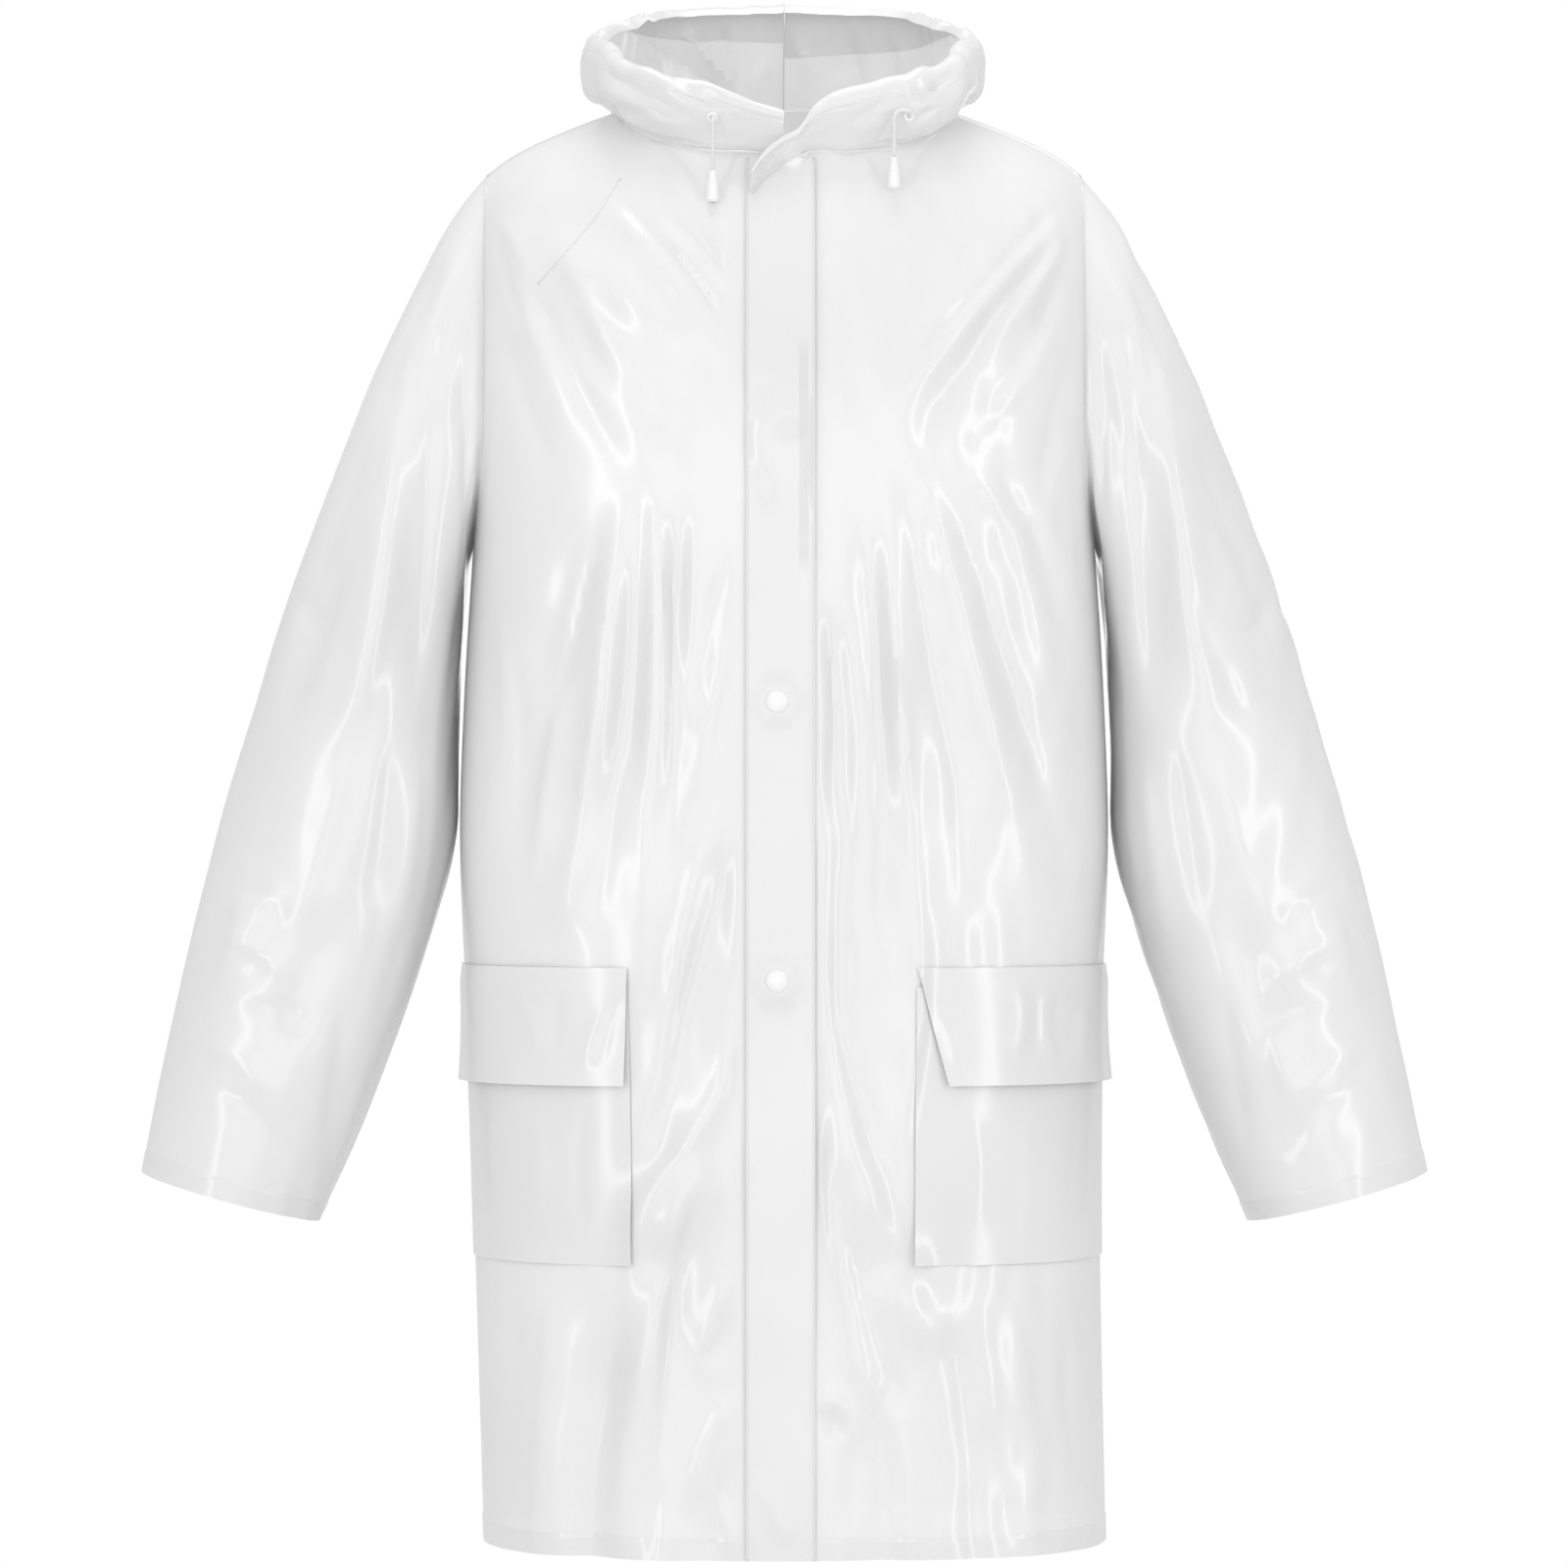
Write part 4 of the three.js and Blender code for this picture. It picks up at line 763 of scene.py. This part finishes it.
# %% Creases on the hidden sides
BACK_CREASES = [  # width and rise, then x and z, seen from the front, all in millimetres
    (11, 3.0, (-150, -90), (-85, -165), (-40, -260)), (10, -2.6, (-175, -130), (-120, -220), (-80, -330)),
    (10, 2.6, (-190, -210), (-150, -310), (-120, -420)), (11, 3.0, (150, -90), (110, -180), (55, -250)),
    (10, -2.6, (178, -150), (140, -250), (90, -340)), (10, 2.6, (188, -230), (165, -330), (130, -430)),
    (9, -3.0, (-140, -330), (-125, -480), (-120, -640)), (9, 2.8, (-95, -350), (-78, -520), (-70, -700)),
    (8, -2.4, (-55, -300), (-54, -460), (-60, -620)), (9, 2.6, (-10, -340), (-12, -540), (0, -760)),
    (8, -2.6, (45, -320), (46, -500), (60, -680)), (9, 2.8, (100, -360), (101, -540), (90, -720)),
    (9, -2.6, (150, -340), (168, -490), (175, -640)), (8, 2.2, (195, -360), (203, -490), (205, -620)),
    (8, -2.2, (-200, -420), (-206, -560), (-205, -700)), (10, 2.6, (-160, -660), (-144, -830), (-140, -1090)),
    (10, -2.6, (-110, -720), (-115, -880), (-130, -1090)), (9, 2.4, (-40, -700), (-52, -860), (-80, -1090)),
    (9, -2.4, (0, -780), (-3, -900), (-15, -1090)), (10, 2.6, (50, -720), (34, -880), (30, -1090)),
    (10, -2.6, (110, -740), (126, -890), (130, -1090)), (10, 2.4, (170, -680), (181, -840), (185, -1090)),
    (9, -2.0, (200, -760), (206, -890), (208, -1090)), (9, 2.0, (-200, -780), (-193, -900), (-192, -1090)),
    (9, 2.0, (-90, -520), (-28, -592), (20, -640)), (9, -2.0, (130, -480), (78, -528), (40, -600)),
    (9, 1.8, (-30, -880), (26, -930), (70, -960)),
]
SLEEVE_BACK_CREASES = [  # the same, with x away from the coat's middle
    (10, 2.8, (250, -70), (282, -160), (300, -260)), (9, -2.6, (275, -110), (318, -200), (345, -300)),
    (9, -2.4, (245, -150), (250, -280), (262, -400)), (9, 2.8, (300, -230), (322, -350), (330, -480)),
    (9, 2.4, (270, -300), (272, -420), (285, -540)), (9, -2.6, (350, -290), (373, -380), (385, -480)),
    (8, -3.0, (262, -440), (300, -462), (330, -500)), (8, 2.8, (265, -490), (312, -518), (350, -560)),
    (8, -2.6, (290, -540), (338, -558), (380, -590)), (9, 2.4, (330, -580), (371, -664), (400, -760)),
    (9, -2.4, (380, -560), (416, -636), (440, -720)), (8, 2.2, (355, -640), (366, -716), (385, -790)),
    (8, 2.0, (420, -620), (446, -688), (465, -760)), (8, -2.2, (320, -640), (329, -711), (345, -780)),
]


def from_photo(table, depth):
    """A table in photograph pixels, as millimetres on a surface this far in front."""
    return [
        (width, rise, *[tuple(v / MM for v in photo_place(*place, depth)) for place in places])
        for width, rise, *places in table
    ]


def crease_rise(table, x, z):
    """How far creases lift the cloth, in millimetres."""
    rise = np.zeros_like(x)
    for number, (width, height, *places) in enumerate(table):
        line = smooth_line(places, 4)
        low, high = line.min(axis=0) - 5 * width, line.max(axis=0) + 5 * width
        near = (x > low[0]) & (x < high[0]) & (z > low[1]) & (z < high[1])
        if not near.any():
            continue
        px, pz = x[near], z[near]
        nearest = np.full(px.shape, np.inf)
        side, share = np.zeros_like(px), np.zeros_like(px)
        for k in range(len(line) - 1):
            (x0, z0), (dx, dz) = line[k], line[k + 1] - line[k]
            span = dx * dx + dz * dz
            t = np.clip(((px - x0) * dx + (pz - z0) * dz) / span, 0, 1)
            away = np.hypot(px - x0 - t * dx, pz - z0 - t * dz)
            closer = away < nearest
            nearest = np.where(closer, away, nearest)
            side = np.where(closer, np.sign((px - x0) * dz - (pz - z0) * dx), side)
            share = np.where(closer, (k + t) / (len(line) - 1), share)
        lean = 1 + 0.35 * math.sin(2.4 * number) * side
        away = nearest / (1.35 * width * lean * (0.75 + 0.5 * share))
        taper = eased(share / 0.3) * eased((1 - share) / 0.3)
        rise[near] += height * taper * np.exp(-1.8 * (np.sqrt(away * away + 0.12) - 0.35))
    return rise


def undulation(points, amount, seed):
    """A slight unevenness of the film, drawn out downwards, in millimetres."""
    random = np.random.default_rng(seed)
    waves = np.zeros(points.shape[:2])
    for _ in range(12):
        length = random.uniform(26, 70) * MM
        lean = random.uniform(-0.5, 0.5)
        turn = random.uniform(0, 2 * math.pi)
        waves += np.sin(
            (points[..., 0] + points[..., 1] * 0.8 + points[..., 2] * lean) * 2 * math.pi / length + turn
        )
    return waves * amount / math.sqrt(12)


# %% [markdown]
# A finished surface becomes a thin closed shell: the same grid again a film's thickness further in,
# and a rim round the open edges. The bands along a hem are film welded to itself, so they stand out
# by one more layer and get the darker base colour of two layers, painted shade for the light that
# they hold back.

# %% Thin shells
FILM = 0.6 * MM
HEM_BAND = 14 * MM
BAND_STEP = 1.2 * MM
BAND_RISE = 0.55
BAND_LINES = (-HEM_BAND - BAND_STEP, -HEM_BAND, -HEM_BAND + BAND_STEP)


def in_band(surface, width=HEM_BAND):
    """How far each row lies into the band along the last edge, from 0 to 1."""
    return eased((surface.down - (surface.down[-1] - width - BAND_STEP)) / BAND_STEP)[:, None]


def shell(name, surface, materials, doubled):
    """A thin closed shell on a surface. doubled says for each face whether it is two layers of film, which
    take the darker painted shade.
    """
    rows, columns = surface.points.shape[:2]
    outer = surface.points.reshape(-1, 3)
    inner = (surface.points - surface.normals() * FILM).reshape(-1, 3)
    half = rows * columns
    index = np.arange(half).reshape(rows, columns)
    if surface.ring:
        index = np.concatenate([index, index[:, :1]], axis=1)
    a, b, c, d = index[:-1, :-1], index[:-1, 1:], index[1:, 1:], index[1:, :-1]
    outward = np.stack([a, b, c, d], axis=2).reshape(-1, 4)
    edges = [(index[0, :-1], index[0, 1:]), (index[-1, 1:], index[-1, :-1])]
    if not surface.ring:
        edges += [(index[1:, 0], index[:-1, 0]), (index[:-1, -1], index[1:, -1])]
    rim = np.concatenate([np.stack([q, p, p + half, q + half], axis=1) for p, q in edges])
    faces = np.concatenate([outward, outward[:, ::-1] + half, rim])
    if surface.facing < 0:
        faces = faces[:, ::-1]
    across, down = np.meshgrid(surface.across, surface.down)
    uv = np.stack([across, down], axis=2).reshape(-1, 2)
    piece = add_mesh(name, np.concatenate([outer, inner]), faces, np.concatenate([uv, uv]))
    for material in materials:
        piece.data.materials.append(material)
    tones = np.zeros(len(faces), np.int32)
    tones[: len(outward)] = tones[len(outward) : 2 * len(outward)] = doubled.reshape(-1)
    piece.data.polygons.foreach_set("material_index", tones)
    print(piece.name, len(piece.data.polygons), "faces")
    return piece


def band_faces(surface, width=HEM_BAND):
    """Which faces lie in the band along the last edge."""
    middles = (surface.down[:-1] + surface.down[1:]) / 2
    inside = middles > middles[-1] - width
    columns = len(surface.across) - (0 if surface.ring else 1)
    return np.repeat(inside[:, None], columns, axis=1)


# %% The coat's body and sleeves
SPACING = 4.2 * MM
CREASE_DEPTH = 1.35
FRONT_ALL = from_photo(FRONT_CREASES, 0.155)
surfaces, films = {}, {}


def body_surface(name, kind, columns, table, seed):
    grid, facing = wall_grid(name, columns)
    grid[..., 1] -= large_folds(kind, grid) * MM
    surface = Surface(grid, facing, SPACING, extra_down=BAND_LINES)
    surface.lift(large_folds(kind, surface.points, soft_ends=True), (0, 1, 0))
    x, z = surface.points[..., 0] / MM, surface.points[..., 2] / MM
    rise = CREASE_DEPTH * crease_rise(table, x, z) + undulation(surface.points, 0.5, seed)
    surface.lift(rise * body_fade(kind == "front", x, z))
    surface.lift(in_band(surface) * BAND_RISE * np.ones_like(x))
    return surface


for name, kind, columns, table, seed in (
    ("front_right", "front", 12, FRONT_ALL, 1), ("front_left", "front", 12, FRONT_ALL, 2),
    ("back", "back", 23, BACK_CREASES, 3),
):
    surfaces[name] = body_surface(name, kind, columns, table, seed)

for side, sign in (("right", -1), ("left", 1)):
    name = "sleeve_" + side
    grid, facing = wall_grid(name)
    turns = 2 * math.pi * np.arange(grid.shape[1]) / grid.shape[1]
    grid[..., 1] -= large_folds("sleeve", grid, turns) * MM
    surface = Surface(grid, facing, SPACING, ring=True, extra_down=BAND_LINES)
    turns = 2 * math.pi * surface.across / (surface.across[-1] + surface.across[1])
    surface.lift(large_folds("sleeve", surface.points, turns, soft_ends=True), (0, 1, 0))
    x, z = surface.points[..., 0] / MM, surface.points[..., 2] / MM
    toward = np.clip(-surface.normals()[..., 1] * 1.4, 0, 1)
    behind = np.clip(surface.normals()[..., 1] * 1.4, 0, 1)
    start = eased(surface.down / (40 * MM))[:, None]
    rise = crease_rise(from_photo(SLEEVE_CREASES[side], 0.07), x, z) * toward
    rise = rise + crease_rise(SLEEVE_BACK_CREASES, abs(x), z) * behind
    surface.lift((rise + undulation(surface.points, 0.5, 4 + sign)) * start)
    surface.lift(in_band(surface) * BAND_RISE * np.ones_like(x))
    surfaces[name] = surface

for name, surface in surfaces.items():
    films[name] = shell("film_" + name, surface, (film_single, film_double_painted_shade), band_faces(surface))

# %% Storm flap and pockets
for name, columns in (
    ("storm_flap", 8), ("pocket_right", 9), ("pocket_left", 10), ("pocket_flap_right", 9),
    ("pocket_flap_left", 10),
):
    grid, facing = wall_grid(name, columns)
    surface = Surface(grid, facing, 3 * MM, extra_down=BAND_LINES)
    x, z = surface.points[..., 0] / MM, surface.points[..., 2] / MM
    surface.lift(CREASE_DEPTH * crease_rise(FRONT_ALL, x, z) * body_fade(True, x, z))
    own = FLAP_CREASES if name == "storm_flap" else POCKET_CREASES
    surface.lift(crease_rise(from_photo(own, 0.155), x, z))
    # Pockets and their flaps are two layers of film and get the darker base colour painted as shade.
    materials = (film_flap if name == "storm_flap" else film_double_painted_shade, film_double_painted_shade)
    surfaces[name] = surface
    films[name] = shell("film_" + name, surface, materials, band_faces(surface))

# %% [markdown]
# The hood lies thrown back in many small creases. Along its face opening runs a channel, a band of
# film welded down round the drawcord. It bulges a little, and puckers where the cord gathers it.

# %% Hood
CHANNEL = 20 * MM
SEAM_CLEAR = 16  # millimetres beside the centre back seam in which creases fade, so the halves meet
eyelets = [np.mean(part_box("eyelet_" + side), axis=0) for side in ("right", "left")]


def hood_surface(side, columns):
    grid, facing = wall_grid("hood_" + side, columns, lambda v: v.co.y)
    surface = Surface(grid, facing, 3 * MM, extra_down=(-CHANNEL - BAND_STEP, -CHANNEL, -CHANNEL + BAND_STEP))
    points = surface.points
    x, y, z = points[..., 0] / MM, points[..., 1] / MM, points[..., 2] / MM
    clear = 1.0
    for eyelet in eyelets:
        clear = clear * (1 - np.exp(-((np.linalg.norm(points - eyelet, axis=2) / (12 * MM)) ** 2)))
    front, behind = eased((-y + 5) / 30), eased((y - 5) / 30)
    start = eased(surface.down / (12 * MM))[:, None]
    off_seam = 1 - behind * (1 - eased(abs(x) / SEAM_CLEAR))
    rise = 1.5 * crease_rise(from_photo(HOOD_FRONT_CREASES, 0.09), x, z) * front
    rise = rise + 2.2 * crease_rise(from_photo(HOOD_BACK_CREASES, -0.08), x, z) * behind
    from_edge = (surface.down[-1] - surface.down)[:, None]
    channel = np.clip(from_edge / CHANNEL, 0, 1)
    bulge = np.sin(math.pi * channel) ** 0.6 * 1.6
    pucker = np.sin(surface.across / (3.1 * MM) + 1.3 * np.sin(surface.across / (11 * MM)))
    pucker = pucker * np.sin(math.pi * np.clip(from_edge / (1.5 * CHANNEL), 0, 1)) * 0.5
    rise = (rise * start + pucker) * off_seam + bulge
    surface.lift((rise + undulation(points, 0.5, 7)) * clear)
    return surface


for side, columns in (("right", 13), ("left", 17)):
    name = "hood_" + side
    surface = hood_surface(side, columns)
    surfaces[name] = surface
    films[name] = shell("film_" + name, surface, (film_hood, film_double_painted_shade), band_faces(surface, CHANNEL))

# %% [markdown]
# The pieces are joined by welds: the two edges are pressed and melted together into a narrow bead.
# It covers the hair's breadth between two solids and draws a fine line that is bright on one side
# and dark on the other. A bead's base colour is the darker one of two layers, painted shade.

# %% Welds
def weld(name, line, pieces, radius=0.75 * MM, finish=film_double_painted_shade):
    """A bead of melted film along a line, which goes with the films that it joins."""
    bead = tube(name, line, radius, 6)
    bead.data.materials.append(finish)
    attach(bead, "coat")
    for piece in pieces:
        going_with.setdefault(piece, []).append(bead)
    return bead


going_with = {}
for side in ("right", "left"):
    front, sleeve = surfaces["front_" + side], surfaces["sleeve_" + side]
    ring = sleeve.points[0]
    weld("weld_armhole_" + side, np.vstack([ring, ring[:1]]), ["sleeve_" + side])
    edge = front.points[:, -1]
    weld("weld_side_" + side, edge[edge[:, 2] < -0.303], ["front_" + side])
    top = front.points[0]
    weld("weld_shoulder_" + side, top[abs(top[:, 0]) > 0.122], ["front_" + side])
    weld("weld_neck_" + side, surfaces["hood_" + side].points[0], ["hood_" + side])
weld("weld_hood", surfaces["hood_right"].points[:, -1], ["hood_right"])
flap = surfaces["storm_flap"].points
# The flap's two beads take the single film's colour, lighter than the flap, as a painted highlight along its
# edges.
for name, column in (("weld_flap", 0), ("weld_flap_edge", -1)):
    weld(name, flap[:, column], ["storm_flap"], 0.9 * MM, film_single)


def laid_on(surface, route):
    """A line on a surface through places given as x and z in millimetres."""
    places = smooth_line(route, 12) * MM
    flat = surface.points.reshape(-1, 3)
    line = []
    for x, z in places:
        distance = np.hypot(flat[:, 0] - x, flat[:, 2] - z)
        nearest = np.argsort(distance)[:4]
        share = 1 / (distance[nearest] + 0.1 * MM)
        line.append((x, float((flat[nearest, 1] * share).sum() / share.sum()), z))
    return np.array(line)


raglan = [tuple(v / MM for v in photo_place(*place, 0.12)) for place in ((632, 178), (603, 225), (548, 288))]
weld("weld_shoulder_patch", laid_on(surfaces["front_right"], raglan), ["front_right"], 0.45 * MM)
print("welds:", sum(len(beads) for beads in going_with.values()))

# %% [markdown]
# The zip is a small coil zip. Its teeth are an instance of one small block, turned out to the left
# and the right in turn along the chain. The chain's line comes from the zip's own solid.

# %% Zip teeth with Geometry Nodes
TOOTH_PITCH = 1.2 * MM  # from a left tooth to the next right one
TOOTH = (2.9 * MM, 0.6 * MM, 0.85 * MM)


def tooth_group():
    group = bpy.data.node_groups.new("zip_teeth", "GeometryNodeTree")
    group.interface.new_socket("Geometry", in_out="INPUT", socket_type="NodeSocketGeometry")
    group.interface.new_socket("Geometry", in_out="OUTPUT", socket_type="NodeSocketGeometry")
    for name, kind in (
        ("Pitch", "NodeSocketFloat"), ("Tooth size", "NodeSocketVector"), ("Sideways", "NodeSocketFloat"),
        ("Material", "NodeSocketMaterial"),
    ):
        group.interface.new_socket(name, in_out="INPUT", socket_type=kind)
    nodes_, link = group.nodes, group.links.new
    given, made = nodes_.new("NodeGroupInput"), nodes_.new("NodeGroupOutput")
    curve = nodes_.new("GeometryNodeMeshToCurve")
    resample = nodes_.new("GeometryNodeResampleCurve")
    resample.mode = "LENGTH"
    block = nodes_.new("GeometryNodeMeshCube")
    place = nodes_.new("GeometryNodeInstanceOnPoints")
    number = nodes_.new("GeometryNodeInputIndex")
    odd = nodes_.new("ShaderNodeMath")
    odd.operation = "MODULO"
    odd.inputs[1].default_value = 2.0
    centred = nodes_.new("ShaderNodeMath")
    centred.operation = "SUBTRACT"
    centred.inputs[1].default_value = 0.5
    sideways = nodes_.new("ShaderNodeMath")
    sideways.operation = "MULTIPLY"
    offset = nodes_.new("ShaderNodeCombineXYZ")
    move = nodes_.new("GeometryNodeTranslateInstances")
    realize = nodes_.new("GeometryNodeRealizeInstances")
    paint = nodes_.new("GeometryNodeSetMaterial")
    link(given.outputs["Geometry"], curve.inputs[0])
    link(curve.outputs[0], resample.inputs["Curve"])
    link(given.outputs["Pitch"], resample.inputs["Length"])
    link(given.outputs["Tooth size"], block.inputs["Size"])
    link(resample.outputs[0], place.inputs["Points"])
    link(block.outputs["Mesh"], place.inputs["Instance"])
    link(number.outputs[0], odd.inputs[0])
    link(odd.outputs[0], centred.inputs[0])
    link(centred.outputs[0], sideways.inputs[0])
    link(given.outputs["Sideways"], sideways.inputs[1])
    link(sideways.outputs[0], offset.inputs[0])
    link(place.outputs[0], move.inputs["Instances"])
    link(offset.outputs[0], move.inputs["Translation"])
    link(move.outputs[0], realize.inputs[0])
    link(realize.outputs[0], paint.inputs["Geometry"])
    link(given.outputs["Material"], paint.inputs["Material"])
    link(paint.outputs[0], made.inputs[0])
    return group


zip_points = np.array([v.co for v in nodes["zip"].data.vertices])
crest = zip_points[abs(zip_points[:, 0] - ZIP_X) < 2.88 * MM]
heights = np.unique(crest[:, 2].round(4))
chain = np.array([
    (ZIP_X, crest[abs(crest[:, 2] - h) < 1 * MM, 1].min() - 0.05 * MM, h) for h in heights[::-1]
])
guide_mesh = bpy.data.meshes.new("zip_line")
guide_mesh.from_pydata([tuple(p) for p in chain], [(i, i + 1) for i in range(len(chain) - 1)], [])
guide = bpy.data.objects.new("zip_line", guide_mesh)
scene.collection.objects.link(guide)
modifier = guide.modifiers.new("teeth", "NODES")
modifier.node_group = tooth_group()
for name, value in (
    ("Pitch", TOOTH_PITCH), ("Tooth size", TOOTH), ("Sideways", 2.2 * MM), ("Material", tooth_plastic),
):
    socket = next(i for i in modifier.node_group.interface.items_tree if i.name == name)
    modifier[socket.identifier] = value
bpy.context.view_layer.update()
evaluated = guide.evaluated_get(bpy.context.evaluated_depsgraph_get())
teeth_mesh = bpy.data.meshes.new_from_object(evaluated)
teeth = bpy.data.objects.new("zip_teeth", teeth_mesh)
scene.collection.objects.link(teeth)
bpy.data.objects.remove(guide)
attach(teeth, "coat")
print("teeth:", len(teeth_mesh.polygons) // 6)

# %% [markdown]
# Every film piece is listed with the flat size that it was cut to, and with the small pieces that
# go along when it moves. Each is attached to the coat in place of its solid and gets sharp edges at
# its rims; the sizes and the gathered pieces are not stored on it.

# %% Cloth facts
CUTS = {  # width and length of the flat cut in metres, and its area in square metres
    "front_right": ((0.36, 1.06), 0.349), "front_left": ((0.35, 1.06), 0.322), "back": ((0.68, 1.08), 0.685),
    "sleeve_right": ((0.46, 0.80), 0.329), "sleeve_left": ((0.46, 0.80), 0.329),
    "storm_flap": ((0.05, 1.03), 0.051), "pocket_right": ((0.2, 0.215), 0.043),
    "pocket_left": ((0.22, 0.215), 0.047), "pocket_flap_right": ((0.22, 0.09), 0.0195),
    "pocket_flap_left": ((0.23, 0.09), 0.0205), "hood_right": ((0.36, 0.26), 0.065),
    "hood_left": ((0.38, 0.26), 0.064),
}
ON_CLOTH = {
    "storm_flap": ["snap_cap_1", "snap_cap_2"], "front_right": ["snap_stud_1", "snap_stud_2"],
    "hood_right": ["eyelet_right"], "hood_left": ["eyelet_left"], "front_left": ["zip"],
}
going_with.setdefault("front_left", []).append(teeth)
for name, (flat, area) in CUTS.items():
    piece = films[name]
    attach(piece, "coat")
    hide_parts(name)
    companions = [nodes[n] for n in ON_CLOTH.get(name, [])] + going_with.get(name, [])
    piece.data.set_sharp_from_angle(angle=math.radians(50))

# %% [markdown]
# The photograph is a product picture: broad even light, a white ground, and a few large soft sources
# whose reflections draw the streaks on the gloss. The broad one behind the camera leaves the flanks
# a little darker, and two tall narrow ones put a bright line on every fold. A small one over the hood
# and a faint one inside the coat stand in for the light that real film lets through to its inner
# side, and a last one lights the back. None of them shows itself to the camera.

# %% Light, ground and colour
world = bpy.data.worlds.new("studio")
scene.world = world
world.use_nodes = True
world_nodes = world.node_tree.nodes
world_nodes.clear()
seen = world_nodes.new("ShaderNodeBackground")
seen.inputs["Color"].default_value = grey(1.0)
lit = world_nodes.new("ShaderNodeBackground")
lit.inputs["Color"].default_value = grey(0.82)
path = world_nodes.new("ShaderNodeLightPath")
choose = world_nodes.new("ShaderNodeMixShader")
world_out = world_nodes.new("ShaderNodeOutputWorld")
world.node_tree.links.new(path.outputs["Is Camera Ray"], choose.inputs[0])
world.node_tree.links.new(lit.outputs[0], choose.inputs[1])
world.node_tree.links.new(seen.outputs[0], choose.inputs[2])
world.node_tree.links.new(choose.outputs[0], world_out.inputs[0])


def soft_light(name, place, target, size, power):
    """A large rectangular light that faces its target."""
    data = bpy.data.lights.new(name, "AREA")
    data.shape = "RECTANGLE"
    data.size, data.size_y = size
    data.energy = power
    light = bpy.data.objects.new(name, data)
    light.location = place
    light.rotation_euler = (Vector(target) - Vector(place)).to_track_quat("-Z", "Y").to_euler()
    light.visible_camera = False
    scene.collection.objects.link(light)


# place and target in metres, width and height in metres, power in watts
soft_light("broad", (0.0, -5.3, -0.2), (0, 0, -0.5), (3.6, 2.8), 30)
soft_light("hood", (0.0, -0.05, 1.1), (0, 0.0, 0.05), (0.6, 0.5), 4.5)
soft_light("inside", (0.0, 0.0, -0.35), (0, 0.03, 0.1), (0.3, 0.15), 0.45)
soft_light("behind", (0.6, 4.6, 0.5), (0, 0, -0.45), (1.8, 2.2), 14)
soft_light("strip_left", (-1.7, -2.6, -0.1), (0, 0, -0.5), (0.26, 2.6), 11)
soft_light("strip_right", (2.0, -2.4, -0.1), (0, 0, -0.5), (0.26, 2.6), 11)

floor_mesh = bpy.data.meshes.new("floor")
outline = bmesh.new()
bmesh.ops.create_circle(outline, cap_ends=True, segments=48, radius=2.6)
outline.to_mesh(floor_mesh)
outline.free()
floor = bpy.data.objects.new("floor", floor_mesh)
floor.location = (0, 0, -1.75)
scene.collection.objects.link(floor)
floor_finish = Finish("floor")
floor_mesh.materials.append(floor_finish.surface(Base_Color=grey(0.8), Roughness=0.9))

scene.view_settings.view_transform = "Standard"
scene.view_settings.look = "None"
scene.view_settings.exposure = 0.0
